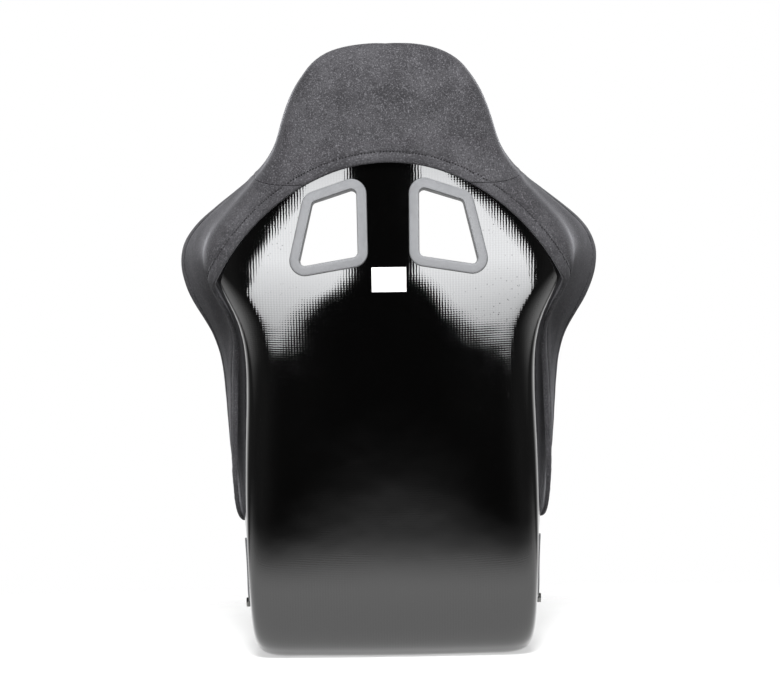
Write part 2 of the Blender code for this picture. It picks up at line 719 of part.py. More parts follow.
def make_label(shell):
    tree = tree_of(shell)
    x, z = LABEL_PLACE
    columns, rows = 4, 3

    def place(column, row, level):
        points = []
        for c, r, up in zip(column, row, level):
            start = Vector((x + LABEL[0] * (c / columns - 0.5), 0.5, z + LABEL[1] * (r / rows - 0.5)))
            hit, normal = tree.ray_cast(start, Vector((0, -1, 0)))[:2]
            points.append(hit + normal * (FIT + LABEL[2] * up))
        return points

    return grid_solid("rating_label", columns, rows, place, "label_foil")


# --- Side-mount fastenings ----------------------------------------------------------------------------------------


def hexagon(mesh, across_flats, height, centre):
    """A hexagonal prism along X."""
    turn = Matrix.Rotation(math.pi / 2, 4, "Y") @ Matrix.Rotation(math.pi / 6, 4, "Z")
    bmesh.ops.create_cone(
        mesh,
        cap_ends=True,
        segments=6,
        radius1=across_flats / math.sqrt(3),
        radius2=across_flats / math.sqrt(3),
        depth=height,
        matrix=Matrix.Translation((centre, 0, 0)) @ turn,
    )


def cylinder(mesh, diameter, start, end, segments=16):
    """A cylinder along X."""
    bmesh.ops.create_cone(
        mesh,
        cap_ends=True,
        segments=segments,
        radius1=diameter / 2,
        radius2=diameter / 2,
        depth=end - start,
        matrix=Matrix.Translation(((start + end) / 2, 0, 0)) @ Matrix.Rotation(math.pi / 2, 4, "Y"),
    )


def bored(name, mesh, diameter, finish):
    """An object with a hole along its X axis."""
    item = add_object(name, mesh, finish)
    drill = bmesh.new()
    cylinder(drill, diameter, -0.05, 0.05)
    drill = hide_cutter(add_object(f"{name}_drill", drill, None, CUTTERS))
    drill.parent = item
    cut(item, drill)
    return item


def make_bolt(name):
    """A hexagon-head screw along X, its head's underside at x = 0 and its shank towards -X."""
    mesh = bmesh.new()
    hexagon(mesh, *BOLT_HEAD, BOLT_HEAD[1] / 2)
    bolt = add_object(name, mesh, "zinc_steel")
    shank = bmesh.new()
    cylinder(shank, BOLT_THREAD, -BOLT_LENGTH, BOLT_HEAD[1] / 2)
    shank = hide_cutter(add_object(f"{name}_shank", shank, None, CUTTERS))
    shank.parent = bolt
    cut(bolt, shank, "UNION")
    return bolt


def place_fastening(item, side, x, spot):
    item.location = (side * x, *spot)
    item.rotation_euler = (0, 0, 0 if side > 0 else math.pi)


def make_side_mount(shell, pads, side, side_name, number, spot):
    end = ("rear", "front")[number]
    tag = f"{end}_{side_name}"
    inner_face = BOSS_FACE - BOSS[0]

    washer_mesh = bmesh.new()
    cylinder(washer_mesh, WASHER[0], 0, WASHER[1])
    washer = bored(f"washer_{tag}", washer_mesh, BOLT_HOLE, "zinc_steel")
    place_fastening(washer, side, BOSS_FACE + FIT, spot)

    bolt = make_bolt(f"bolt_{tag}")
    place_fastening(bolt, side, BOSS_FACE + WASHER[1] + 2 * FIT, spot)

    plate = bored(f"backing_plate_{tag}", box_mesh(PLATE), BOLT_HOLE, "zinc_steel")
    place_fastening(plate, side, inner_face - FIT - PLATE[0] / 2, spot)

    nut_mesh = bmesh.new()
    hexagon(nut_mesh, BOLT_HEAD[0], NUT_HEIGHT, 0)
    nut = bored(f"captive_nut_{tag}", nut_mesh, BOLT_THREAD + 2 * FIT, "zinc_steel")
    nut_seat = inner_face - 2 * FIT - PLATE[0]
    place_fastening(nut, side, nut_seat - NUT_HEIGHT / 2, spot)

    drill = bmesh.new()
    cylinder(drill, BOLT_HOLE, -0.02, 0.02)
    drill = hide_cutter(add_object(f"mount_drill_{tag}", drill, None, CUTTERS))
    place_fastening(drill, side, BOSS_FACE - BOSS[0] / 2, spot)
    cut(shell, drill)

    depth = BOLT_LENGTH - WASHER[1] - BOSS[0] + 2 * RECESS_FIT
    room = (depth + BOSS[0], BOSS[1] + RECESS_FIT, BOSS[2] + RECESS_FIT)
    recess = hide_cutter(add_object(f"recess_{tag}", box_mesh(room), None, CUTTERS))
    place_fastening(recess, side, BOSS_FACE + RECESS_FIT / 2 - room[0] / 2, spot)
    for pad in ("thigh_bolster", "hip_pad"):
        cut(pads[f"{pad}_{side_name}"], recess)


# --- The seat -----------------------------------------------------------------------------------------------------


def main():
    shell = make_shell()
    pads = make_padding()
    make_covers()
    make_harness_slots(shell, pads)
    make_lap_slots(shell, pads)
    make_crotch_slot(shell, pads)
    make_label(shell)
    make_bosses(shell)
    for side, side_name in ((1, "left"), (-1, "right")):
        for number, spot in enumerate(BOLT_PLACES):
            make_side_mount(shell, pads, side, side_name, number, spot)


main()
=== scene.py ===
import math

import bmesh
import bpy
import numpy as np
from mathutils import Matrix, Vector, noise
from mathutils.bvhtree import BVHTree
from mathutils.kdtree import KDTree


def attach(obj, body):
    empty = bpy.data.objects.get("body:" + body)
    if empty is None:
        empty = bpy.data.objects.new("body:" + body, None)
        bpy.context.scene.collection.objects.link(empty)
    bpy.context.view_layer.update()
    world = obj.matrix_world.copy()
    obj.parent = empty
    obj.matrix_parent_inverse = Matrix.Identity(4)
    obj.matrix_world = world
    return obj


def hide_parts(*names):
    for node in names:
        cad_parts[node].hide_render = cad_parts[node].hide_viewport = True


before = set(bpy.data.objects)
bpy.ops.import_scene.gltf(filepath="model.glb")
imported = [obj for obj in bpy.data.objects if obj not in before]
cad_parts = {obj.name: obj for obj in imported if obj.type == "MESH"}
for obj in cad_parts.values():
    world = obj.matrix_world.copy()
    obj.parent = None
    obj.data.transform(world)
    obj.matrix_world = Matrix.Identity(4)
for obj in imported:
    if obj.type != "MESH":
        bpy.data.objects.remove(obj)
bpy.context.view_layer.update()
scene = bpy.context.scene
print("frame: %d nodes" % len(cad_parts))

# The seat's surface is one spline sheet. Across goes from -1 at the right rim to 1 at the left rim.
# Along goes from 0 at the front edge, under the sitter and up the back, to 1 at the head's top edge.
seatForm = {
    "wall": 0.004,
    "corner": 0.062,
    "crown": 0.014,
    "rows": 28,
    "lines": 10,
    # spine (y, z), rim (y, z), panel's and rim's half width, share of the crown, floor and side padding
    "frames": (
        ((-0.346, 0.116), (-0.346, 0.118), 0.000, 0.000, 0.0, 0.000, 0.000),
        ((-0.345, 0.106), (-0.350, 0.128), 0.130, 0.168, 0.0, 0.022, 0.010),
        ((-0.300, 0.052), (-0.322, 0.186), 0.186, 0.203, 0.0, 0.060, 0.022),
        ((-0.200, 0.006), (-0.214, 0.242), 0.205, 0.215, 0.0, 0.062, 0.034),
        ((-0.090, -0.006), (-0.112, 0.256), 0.203, 0.219, 0.0, 0.060, 0.038),
        ((0.030, -0.006), (-0.034, 0.258), 0.203, 0.222, 0.0, 0.058, 0.036),
        ((0.128, -0.002), (0.006, 0.266), 0.204, 0.226, 0.3, 0.056, 0.030),
        ((0.154, 0.090), (0.028, 0.306), 0.206, 0.230, 0.6, 0.052, 0.030),
        ((0.163, 0.185), (0.036, 0.356), 0.208, 0.233, 0.8, 0.050, 0.038),
        ((0.179, 0.285), (0.045, 0.410), 0.206, 0.235, 1.0, 0.044, 0.042),
        ((0.202, 0.385), (0.055, 0.470), 0.201, 0.246, 1.0, 0.036, 0.042),
        ((0.228, 0.475), (0.066, 0.530), 0.207, 0.291, 1.0, 0.030, 0.042),
        ((0.252, 0.555), (0.082, 0.602), 0.266, 0.300, 1.0, 0.026, 0.042),
        ((0.269, 0.625), (0.138, 0.655), 0.206, 0.220, 1.0, 0.026, 0.034),
        ((0.279, 0.690), (0.192, 0.702), 0.145, 0.150, 0.9, 0.036, 0.026),
        ((0.284, 0.752), (0.214, 0.762), 0.132, 0.136, 0.7, 0.044, 0.024),
        ((0.284, 0.812), (0.232, 0.818), 0.104, 0.110, 0.5, 0.036, 0.020),
        ((0.272, 0.844), (0.250, 0.846), 0.066, 0.071, 0.2, 0.016, 0.010),
        ((0.258, 0.844), (0.257, 0.844), 0.000, 0.000, 0.0, 0.000, 0.000),
    ),
}


def splineWeights(count, places):
    inner = np.linspace(0, 1, count - 2)
    knots = np.concatenate((np.zeros(3), inner, np.ones(3)))
    places = np.clip(places, 0, 1 - 1e-9)
    basis = [((low <= places) & (places < high)).astype(float) for low, high in zip(knots, knots[1:])]
    for step in (1, 2, 3):
        for i in range(count + 3 - step):
            rise = knots[i + step] - knots[i]
            fall = knots[i + step + 1] - knots[i + 1]
            value = np.zeros_like(places)
            if rise > 0:
                value = value + (places - knots[i]) / rise * basis[i]
            if fall > 0:
                value = value + (knots[i + step + 1] - places) / fall * basis[i + 1]
            basis[i] = value
    return np.stack(basis[:count], axis=-1)


def halfFrame(spine, rim, panel, brim, crown, floorPad, sidePad, padded):
    spine, rim = np.array(spine), np.array(rim)
    depth = np.linalg.norm(rim - spine)
    toRim = (rim - spine) / max(depth, 1e-9)
    bulge = min(crown * seatForm["crown"], depth * 0.2)
    turn = min(seatForm["corner"], depth * 0.35, panel * 0.35)
    foot = bulge + turn
    wall = depth - foot
    flare = brim - panel
    low, side = (floorPad, sidePad) if padded else (0.0, 0.0)
    outline = (
        (0, low),
        ((panel - turn) * 0.5, bulge * 0.15 + low),
        (panel - turn - side * 0.4, bulge * 0.7 + low),
        (panel - side, bulge + low),
        (panel - side, foot + low * 0.6),
        (panel + flare * 0.25 - side, foot + wall * 0.4 + low * 0.2),
        (panel + flare * 0.72 - side * 0.8, foot + wall * 0.8),
        (brim - side * 0.35, depth),
    )
    return [(x, *(spine + toRim * rise)) for x, rise in outline]


def makeCage(padded):
    halves = np.array([halfFrame(*row, padded) for row in seatForm["frames"]])
    return np.concatenate((halves[:, :0:-1] * (-1, 1, 1), halves), axis=1)


shellCage = makeCage(False)
paddingCage = makeCage(True)


def smoothPoint(across, along, cage=None):
    cage = shellCage if cage is None else cage
    across, along = np.broadcast_arrays(np.asarray(across, float), np.asarray(along, float))
    weightsAcross = splineWeights(cage.shape[1], (across + 1) / 2)
    weightsAlong = splineWeights(cage.shape[0], along)
    return np.einsum("...j,...jk->...k", weightsAcross, np.tensordot(weightsAlong, cage, 1))


def unit(vectors):
    return vectors / np.linalg.norm(vectors, axis=-1, keepdims=True)


def atPole(along):
    return (along < 1e-6) | (along > 1 - 1e-6)


def outward(across, along):  # unit normals away from the sitter
    step = 1e-3
    across = np.where(atPole(along), 0, np.clip(across, step - 1, 1 - step))
    along = np.clip(along, 0.012, 0.988)
    run = smoothPoint(across + step, along) - smoothPoint(across - step, along)
    rise = smoothPoint(across, along + step) - smoothPoint(across, along - step)
    return unit(np.cross(rise, run))


def surfacePoint(across, along, out):
    across, along, out = np.broadcast_arrays(np.asarray(across, float), np.asarray(along, float), out)
    point = smoothPoint(across, along)
    point[..., 2] = np.maximum(point[..., 2], 0)
    return point + outward(across, along) * out[..., None]


def rimOutward(side, along):  # in the laminate's plane, square to the rim
    step = 1e-3
    tangent = smoothPoint(side, np.clip(along + step, 0, 1)) - smoothPoint(side, np.clip(along - step, 0, 1))
    tangent[atPole(along), 1:] = 0
    return unit(np.cross(outward(side, along), tangent)) * side[..., None]


def arcTable(along, samples=241):  # lengths from the middle to the rim on each row
    lines = np.linspace(0, 1, samples)
    points = smoothPoint(lines[None, :], np.asarray(along, float)[:, None])
    steps = np.linalg.norm(np.diff(points, axis=1), axis=-1)
    return lines, np.concatenate((np.zeros((len(along), 1)), np.cumsum(steps, axis=1)), axis=1)


def lineFromRim(along, distance):  # across of a point at a distance inside the left rim, one for each row
    lines, lengths = arcTable(along)
    distance = np.broadcast_to(distance, along.shape)
    return np.array([np.interp(row[-1] - reach, row, lines) for row, reach in zip(lengths, distance)])


def gridMesh(columns, rows):
    mesh = bmesh.new()
    bmesh.ops.create_grid(mesh, x_segments=columns, y_segments=rows, size=0.5)
    column = mesh.verts.layers.int.new("column")
    row = mesh.verts.layers.int.new("row")
    mesh.verts.layers.int.new("skin")
    for vert in mesh.verts:
        vert[column] = round((vert.co.x + 0.5) * columns)
        vert[row] = round((vert.co.y + 0.5) * rows)
    return mesh


def moveVerts(mesh, verts, place, *extra):
    column, row = mesh.verts.layers.int["column"], mesh.verts.layers.int["row"]
    columnsOf = np.array([vert[column] for vert in verts])
    rowsOf = np.array([vert[row] for vert in verts])
    for vert, point in zip(verts, place(columnsOf, rowsOf, *extra)):
        vert.co = point


def addUv(mesh, uvOf):  # lengths across and along the surface, in metres
    column, row = mesh.verts.layers.int["column"], mesh.verts.layers.int["row"]
    layer = mesh.loops.layers.uv.new("weave")
    for face in mesh.faces:
        for loop in face.loops:
            loop[layer].uv = uvOf[loop.vert[column], loop.vert[row]]


def finishMesh(name, mesh, material, smooth=True, turnOut=True):
    if turnOut:
        bmesh.ops.recalc_face_normals(mesh, faces=mesh.faces[:])
    data = bpy.data.meshes.new(name)
    mesh.to_mesh(data)
    mesh.free()
    data.polygons.foreach_set("use_smooth", [smooth] * len(data.polygons))
    piece = bpy.data.objects.new(name, data)
    scene.collection.objects.link(piece)
    if material:
        data.materials.append(material)
    return piece


def twoSkins(name, columns, rows, place, material, uvOf=None):
    mesh = gridMesh(columns, rows)
    moveVerts(mesh, mesh.verts[:], place, 0.0)
    if uvOf is not None:
        addUv(mesh, uvOf)
    bmesh.ops.remove_doubles(mesh, verts=mesh.verts[:], dist=1e-6)
    grown = bmesh.ops.extrude_face_region(mesh, geom=mesh.faces[:])["geom"]
    grown = [item for item in grown if isinstance(item, bmesh.types.BMVert)]
    for vert in grown:
        vert[mesh.verts.layers.int["skin"]] = 1
    moveVerts(mesh, grown, place, 1.0)
    bmesh.ops.remove_doubles(mesh, verts=mesh.verts[:], dist=3e-6)
    return finishMesh(name, mesh, material)


def applyModifiers(piece):
    graph = bpy.context.evaluated_depsgraph_get()
    data = bpy.data.meshes.new_from_object(piece.evaluated_get(graph), depsgraph=graph)
    old = piece.data
    piece.modifiers.clear()
    piece.data = data
    bpy.data.meshes.remove(old)
    data.name = piece.name
    return piece


def meshOf(piece):
    mesh = bmesh.new()
    mesh.from_mesh(piece.data)
    return mesh


def treeOf(piece):
    mesh = meshOf(piece)
    tree = BVHTree.FromBMesh(mesh)
    mesh.free()
    return tree


def sharpen(piece, degrees):
    mesh = meshOf(piece)
    for edge in mesh.edges:
        if len(edge.link_faces) == 2 and edge.calc_face_angle(0) > math.radians(degrees):
            edge.smooth = False
    mesh.to_mesh(piece.data)
    mesh.free()


def settle(piece, slot, *nodes):
    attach(piece, "root")
    if nodes:
        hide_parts(*nodes)
    return piece


class NodeTree:  # short ways to add and join the shader nodes of a material or the world
    def __init__(self, owner):
        owner.use_nodes = True
        self.owner = owner
        self.nodes = owner.node_tree.nodes
        self.links = owner.node_tree.links
        self.shader = self.nodes.get("Principled BSDF")

    def add(self, kind, settings=None, **inputs):
        node = self.nodes.new("ShaderNode" + kind)
        for key, value in (settings or {}).items():
            setattr(node, key, value)
        for key, value in inputs.items():
            self.put(node, key.replace("_", " "), value)
        return node

    def put(self, node, key, value):
        socket = node.inputs[int(key[2:])] if key.startswith("in") and key[2:].isdigit() else node.inputs[key]
        if isinstance(value, bpy.types.NodeSocket):
            self.links.new(value, socket)
        else:
            socket.default_value = value

    def set(self, **inputs):
        for key, value in inputs.items():
            self.put(self.shader, key.replace("_", " "), value)

    def math(self, operation, first, second=0.0, third=0.0, clamp=False):
        settings = {"operation": operation, "use_clamp": clamp}
        return self.add("Math", settings, in0=first, in1=second, in2=third).outputs[0]

    def ramp(self, fac, stops, smooth=False):
        node = self.add("ValToRGB", None, Fac=fac)
        node.color_ramp.interpolation = "EASE" if smooth else "LINEAR"
        elements = node.color_ramp.elements
        while len(elements) < len(stops):
            elements.new(0.5)
        for element, (place, value) in zip(elements, stops):
            element.position = place
            element.color = (value, value, value, 1) if isinstance(value, float) else (*value, 1)
        return node.outputs[0]

    def mix(self, fac, first, second):
        first, second = ((*value, 1) if isinstance(value, tuple) else value for value in (first, second))
        return self.add("Mix", {"data_type": "RGBA"}, in0=fac, in6=first, in7=second).outputs[2]

    def noise(self, where, scale, detail=3.0, roughness=0.55):
        node = self.add("TexNoise", None, Vector=where, Scale=scale, Detail=detail, Roughness=roughness)
        return node.outputs[0]

    def bump(self, height, distance, normal=None):
        node = self.add("Bump", None, Height=height, Distance=distance, Strength=1.0)
        if normal is not None:
            self.links.new(normal, node.inputs["Normal"])
        return node.outputs[0]

    def ease(self, value, source, target):
        low, high = source
        start, end = target
        ends = {"From_Min": low, "From_Max": high, "To_Min": start, "To_Max": end}
        return self.add("MapRange", {"interpolation_type": "SMOOTHSTEP"}, Value=value, **ends).outputs[0]


def newMaterial(name):
    return NodeTree(bpy.data.materials.new(name))


def shaded(colour, share):
    return tuple(value * share for value in colour)


gelCoat = {
    "colour": (0.0003, 0.0003, 0.00033),
    "warm": (0.0004, 0.00038, 0.00034),
    "ior": 1.6,
    "roughness": 0.05,
    "dusty": 0.10,  # roughness under dust
    "ribs": ((0, 0.0039, 1.0), (1, 0.0033, 0.45)),  # of the glass cloth: direction, pitch, share
    "ribJitter": 2.2,
    "ribHeight": 0.000013,
    "weaveShine": 0.045,
    "waveHeight": 0.0005,
    "pitScale": 210.0,
    "pitHeight": 0.00002,
    "pitDull": (-0.42, -0.85),  # what a pit takes off the gloss and off the coat
    "pitSides": ((0.07, 0.0), (0.13, 1.0)),  # distance from the middle, and how many pits show there
    "pitBand": ((0.19, 0.0), (0.30, 1.0), (0.60, 1.0), (0.66, 0.0)),  # height, and the same
}


def makeGelCoat():
    tree = newMaterial("gelCoat")
    where = tree.add("TexCoord").outputs["Object"]
    spot = tree.add("SeparateXYZ", None, Vector=where).outputs
    uv = tree.add("UVMap", {"uv_map": "weave"}).outputs[0]
    parts = tree.add("SeparateXYZ", None, Vector=uv).outputs
    jitter = tree.math("MULTIPLY", tree.noise(uv, 160.0, 1.0), gelCoat["ribJitter"])
    ribs = []
    for axis, pitch, share in gelCoat["ribs"]:
        turn = tree.math("ADD", tree.math("MULTIPLY", parts[axis], 2 * math.pi / pitch), jitter)
        ribs.append(tree.math("MULTIPLY", tree.math("SINE", turn), share))
    patch = tree.ramp(tree.noise(uv, 9.0, 2.0), ((0.35, 0.35), (0.62, 1.0)), True)
    weave = tree.math("MULTIPLY", tree.math("ADD", *ribs), patch)
    rib = tree.bump(weave, gelCoat["ribHeight"])
    wave = tree.bump(tree.noise(where, 11.0, 2.0, 0.4), gelCoat["waveHeight"], rib)
    spots = tree.add("TexVoronoi", None, Vector=where, Scale=gelCoat["pitScale"], Randomness=1.0).outputs
    small = tree.ramp(spots["Distance"], ((0.05, 1.0), (0.26, 0.0)), True)
    pick = tree.ramp(spots["Color"], ((0.5, 0.0), (0.56, 1.0)))
    groups = tree.ramp(tree.noise(where, 6.0, 2.0), ((0.42, 0.0), (0.54, 1.0)))
    flank = tree.ramp(tree.math("ABSOLUTE", spot[0]), gelCoat["pitSides"], True)
    band = tree.ramp(spot[2], gelCoat["pitBand"], True)
    pit = small
    for limit in (groups, flank, band, pick):
        pit = tree.math("MULTIPLY", pit, limit)
    normal = tree.bump(tree.math("MULTIPLY", pit, -1.0), gelCoat["pitHeight"], wave)
    colour = tree.mix(tree.noise(where, 3.0, 3.0), gelCoat["colour"], gelCoat["warm"])
    dust = tree.noise(where, 26.0, 5.0, 0.7)
    dust = tree.ramp(dust, ((0.45, gelCoat["roughness"]), (0.8, gelCoat["dusty"])))
    tree.set(Base_Color=colour, Roughness=dust, IOR=gelCoat["ior"], Normal=normal)
    shine = tree.math("MULTIPLY_ADD", weave, gelCoat["weaveShine"], 0.5)
    dull, dullCoat = gelCoat["pitDull"]
    tree.set(Specular_IOR_Level=tree.math("MULTIPLY_ADD", pit, dull, shine))
    tree.set(Coat_Weight=tree.math("MULTIPLY_ADD", pit, dullCoat, 1.0), Coat_IOR=gelCoat["ior"])
    tree.set(Coat_Roughness=0.02, Coat_Normal=normal)
    return tree.owner


suede = {
    "dark": (0.020, 0.0195, 0.0213),
    "light": (0.036, 0.0353, 0.0382),
    "speck": (0.088, 0.087, 0.093),
    "pore": 0.35,  # painted shade in the pores, the dips of the nap bump: colour there, as a share of the dark one
    "cloud": (16.0, 5.0, 0.62),
    "nap": (90.0, 4.0, 0.7),
    "fine": (520.0, 2.0, 0.6),
    "threadTurns": (0.62, -0.95),
    "threadScale": 230.0,
    "sheen": 0.12,
    "sheenTint": (0.8, 0.8, 0.85, 1),
    "napHeight": 0.00022,
    "foldHeight": 0.0016,
}


def makeSuede(name, shade=1.0):
    tree = newMaterial(name)
    where = tree.add("TexCoord").outputs["Object"]
    dark, light, speck = (shaded(suede[key], shade) for key in ("dark", "light", "speck"))
    cloud, nap, fine = (tree.noise(where, *suede[key]) for key in ("cloud", "nap", "fine"))
    tone = tree.math("MULTIPLY_ADD", cloud, 0.7, tree.math("MULTIPLY", nap, 0.3))
    colour = tree.mix(tree.ramp(tone, ((0.36, 0.0), (0.66, 1.0)), True), dark, light)
    colour = tree.mix(tree.ramp(fine, ((0.54, 0.0), (0.74, 0.8))), colour, speck)
    # painted shade: darker colour where the fine noise is low, in the same dips that the nap bump sinks
    colour = tree.mix(tree.ramp(fine, ((0.26, 0.7), (0.46, 0.0))), colour, shaded(dark, suede["pore"]))
    threads = []
    for turn in suede["threadTurns"]:
        turned = tree.add("Mapping", None, Vector=where, Rotation=(turn, turn * 0.7, turn)).outputs[0]
        threads.append(tree.add("TexWave", None, Vector=turned, Scale=suede["threadScale"]).outputs[1])
    cloth = tree.math("MULTIPLY", *threads)
    height = tree.math("MULTIPLY_ADD", cloth, 0.35, tree.math("MULTIPLY_ADD", nap, 0.8, fine))
    fold = tree.bump(tree.noise(where, 7.0, 2.0, 0.4), suede["foldHeight"])
    tree.set(Base_Color=colour, Normal=tree.bump(height, suede["napHeight"], fold), Specular_IOR_Level=0.2)
    tree.set(Roughness=tree.ramp(nap, ((0.3, 0.82), (0.7, 0.98))))
    tree.set(Sheen_Weight=suede["sheen"], Sheen_Roughness=0.4, Sheen_Tint=suede["sheenTint"])
    return tree.owner


def makePlastic(name, colour, roughness, grain=0.00006):
    tree = newMaterial(name)
    where = tree.add("TexCoord").outputs["Object"]
    mottle = tree.noise(where, 40.0, 4.0, 0.65)
    scuff = tree.noise(where, 160.0, 6.0, 0.75)
    tone = tree.mix(tree.ramp(mottle, ((0.35, 0.0), (0.65, 1.0)), True), shaded(colour, 0.86), colour)
    tone = tree.mix(tree.ramp(scuff, ((0.68, 0.0), (0.74, 0.35))), tone, shaded(colour, 0.45))
    rough = tree.ramp(mottle, ((0.3, roughness * 0.85), (0.7, min(1.0, roughness * 1.2))))
    height = tree.math("MULTIPLY_ADD", scuff, 0.3, tree.noise(where, 1400.0, 2.0))
    tree.set(Base_Color=tone, Roughness=rough, Normal=tree.bump(height, grain))
    return tree.owner


def makeSteel(name, colour, roughness):
    tree = newMaterial(name)
    where = tree.add("TexCoord").outputs["Object"]
    streak = tree.noise(where, 500.0, 3.0, 0.7)
    blot = tree.ramp(tree.noise(where, 70.0, 4.0), ((0.3, 0.0), (0.7, 1.0)))
    rough = tree.ramp(streak, ((0.3, roughness * 0.8), (0.7, roughness * 1.3)))
    tone = tree.mix(blot, shaded(colour, 0.6), colour)
    tree.set(Base_Color=tone, Roughness=rough, Metallic=1.0, Normal=tree.bump(streak, 0.00004))
    return tree.owner


finishes = {
    "gelCoat": makeGelCoat(),
    "cover": makeSuede("coverSuede"),
    "pad": makeSuede("padSuede", 0.8),
    "thread": makePlastic("thread", (0.005, 0.005, 0.0055), 0.8, 0.00003),
    "bezel": makePlastic("greyPlastic", (0.118, 0.120, 0.125), 0.42),
    "label": makePlastic("whiteFoil", (0.72, 0.72, 0.715), 0.45, 0.00002),
    "steel": makeSteel("zincSteel", (0.30, 0.30, 0.29), 0.34),
}
print("materials:", len(finishes))

shellPiece = {
    "columns": 132,
    "rows": 260,
    "crowding": (0.16, 0.22),  # how much closer the columns and the rows stand towards their ends
    "boltPlaces": ((0.030, 0.073), (-0.180, 0.084)),
    "bossFace": 0.2078,
    "boss": (0.0115, 0.050, 0.042),
    "bossBevel": 0.0012,
    "boltHole": 0.009,
}


def closerAtEnds(count, strength):
    share = np.linspace(0, 1, count + 1)
    return share - strength * np.sin(2 * math.pi * share) * 0.5


def bevelEdges(mesh, width):
    shape = {"offset": width, "segments": 3, "profile": 0.5}
    bmesh.ops.bevel(mesh, geom=mesh.edges[:], affect="EDGES", material=-1, **shape)


def boxPiece(name, size, place, bevel=0.0, material=None):
    mesh = bmesh.new()
    bmesh.ops.create_cube(mesh, size=1.0)
    bmesh.ops.scale(mesh, vec=size, verts=mesh.verts[:])
    if bevel:
        bevelEdges(mesh, bevel)
    bmesh.ops.translate(mesh, vec=place, verts=mesh.verts[:])
    return finishMesh(name, mesh, material, False)


def addCylinder(mesh, segments, radius, length, turn):
    sizes = {"segments": segments, "radius1": radius, "radius2": radius, "depth": length}
    bmesh.ops.create_cone(mesh, cap_ends=True, matrix=turn, **sizes)


def rodPiece(name, diameter, place, length, segments=48):
    mesh = bmesh.new()
    turn = Matrix.Translation(place) @ Matrix.Rotation(math.pi / 2, 4, "Y")
    radius = diameter / 2
    addCylinder(mesh, segments, radius, length, turn)
    return finishMesh(name, mesh, None, False)


def carve(piece, cutters, operation="DIFFERENCE"):
    group = bpy.data.collections.new("cutters")
    for cutter in cutters:
        group.objects.link(cutter)
    change = piece.modifiers.new("carve", "BOOLEAN")
    change.operation = operation
    change.operand_type = "COLLECTION"
    change.collection = group
    change.solver = "MANIFOLD"
    applyModifiers(piece)
    for cutter in cutters:
        bpy.data.objects.remove(cutter)
    bpy.data.collections.remove(group)


def makeShell():
    columns, rows = shellPiece["columns"], shellPiece["rows"]
    crowdAcross, crowdAlong = shellPiece["crowding"]
    across = 2 * closerAtEnds(columns, crowdAcross) - 1
    along = closerAtEnds(rows, crowdAlong)
    grid = smoothPoint(across[:, None], along[None, :])
    u = np.cumsum(np.linalg.norm(np.diff(grid, axis=0, prepend=grid[:1]), axis=-1), axis=0)
    v = np.cumsum(np.linalg.norm(np.diff(grid, axis=1, prepend=grid[:, :1]), axis=-1), axis=1)
    uvOf = np.stack((u - u[columns // 2], np.broadcast_to(v[columns // 2], v.shape)), axis=-1)

    def place(column, row, level):
        return surfacePoint(across[column], along[row], -seatForm["wall"] * (1 - level))

    shell = twoSkins("shellLaminate", columns, rows, place, finishes["gelCoat"], uvOf)
    size, face = shellPiece["boss"], shellPiece["bossFace"]
    bosses, drills = [], []
    for side in (-1, 1):
        for y, z in shellPiece["boltPlaces"]:
            place = (side * (face - size[0] / 2), y, z)
            bosses.append(boxPiece("boss", size, place, shellPiece["bossBevel"], finishes["gelCoat"]))
            drills.append(rodPiece("drill", shellPiece["boltHole"], place, 0.04))
    return shell, bosses, drills


slots = {
    "harnessHeight": 0.6095,
    "harness": ((0.0425, 0.0495), (0.0420, -0.0430), (0.1235, -0.0560), (0.1020, 0.0305)),
    "harnessRound": 0.007,
    "lap": (0.074, 0.028),
    "lapPlace": (0.76, 9.0 / 28),
    "lapRound": 0.010,
    "crotch": (0.062, 0.024),
    "crotchPlace": (0.0, 2.7 / 28),
    "crotchRound": 0.009,
    "flange": (0.014, 0.0045),
    "smallFlange": (0.009, 0.0028),
    "collar": 0.0022,
    "collarFit": 0.0006,
    "collarDepth": 0.010,
    "lift": 0.0004,
    # a flange's rounded lip, dished face and rounded outer edge: share of its width and of its height
    "section": (
        *((0.0, 0.45), (0.015, 0.74), (0.05, 0.93), (0.10, 1.0), (0.30, 1.0), (0.55, 0.99)),
        *((0.80, 0.97), (0.90, 0.94), (0.955, 0.84), (0.985, 0.58), (1.0, 0.18)),
    ),
    "cornerSteps": 10,
    "sideSteps": 14,
    "cut": (0.09, 0.03),
    "probe": 0.15,
}


class SlotSeat:  # a slot's own plane
    def __init__(self, place, axis, reach):
        self.centre = Vector(surfacePoint(*place, 0.0))
        self.axis = Vector(axis).normalized()
        self.across = (Vector(reach) - self.axis * Vector(reach).dot(self.axis)).normalized()
        self.up = self.axis.cross(self.across).normalized()

    def spot(self, corner):
        return self.centre + self.across * corner[0] + self.up * corner[1]

    def on(self, tree, corner, outside):
        far = self.axis * (slots["probe"] if outside else -slots["probe"])
        return tree.ray_cast(self.spot(corner) + far, -far.normalized())[0]


def rectangle(size):
    x, y = size[0] / 2, size[1] / 2
    return ((-x, -y), (x, -y), (x, y), (-x, y))


def ringPoints(corners, radius, grow=0.0):
    points = [Vector(corner) for corner in corners]
    if sum(a.x * b.y - a.y * b.x for a, b in zip(points, points[1:] + points[:1])) < 0:
        points.reverse()
    arcs = []
    for before, corner, after in zip(points[-1:] + points[:-1], points, points[1:] + points[:1]):
        wayIn, wayOut = (corner - before).normalized(), (after - corner).normalized()
        opening = wayIn.angle(wayOut)
        square = Vector((wayIn.y, -wayIn.x))
        middle = corner - wayIn * radius * math.tan(opening / 2) - square * radius
        turns = [opening * step / slots["cornerSteps"] for step in range(slots["cornerSteps"] + 1)]
        arcs.append([middle + Matrix.Rotation(turn, 2) @ square * (radius + grow) for turn in turns])
    outline = []
    for arc, following in zip(arcs, arcs[1:] + arcs[:1]):
        steps = slots["sideSteps"]
        outline += arc + [arc[-1].lerp(following[0], step / steps) for step in range(1, steps)]
    return outline


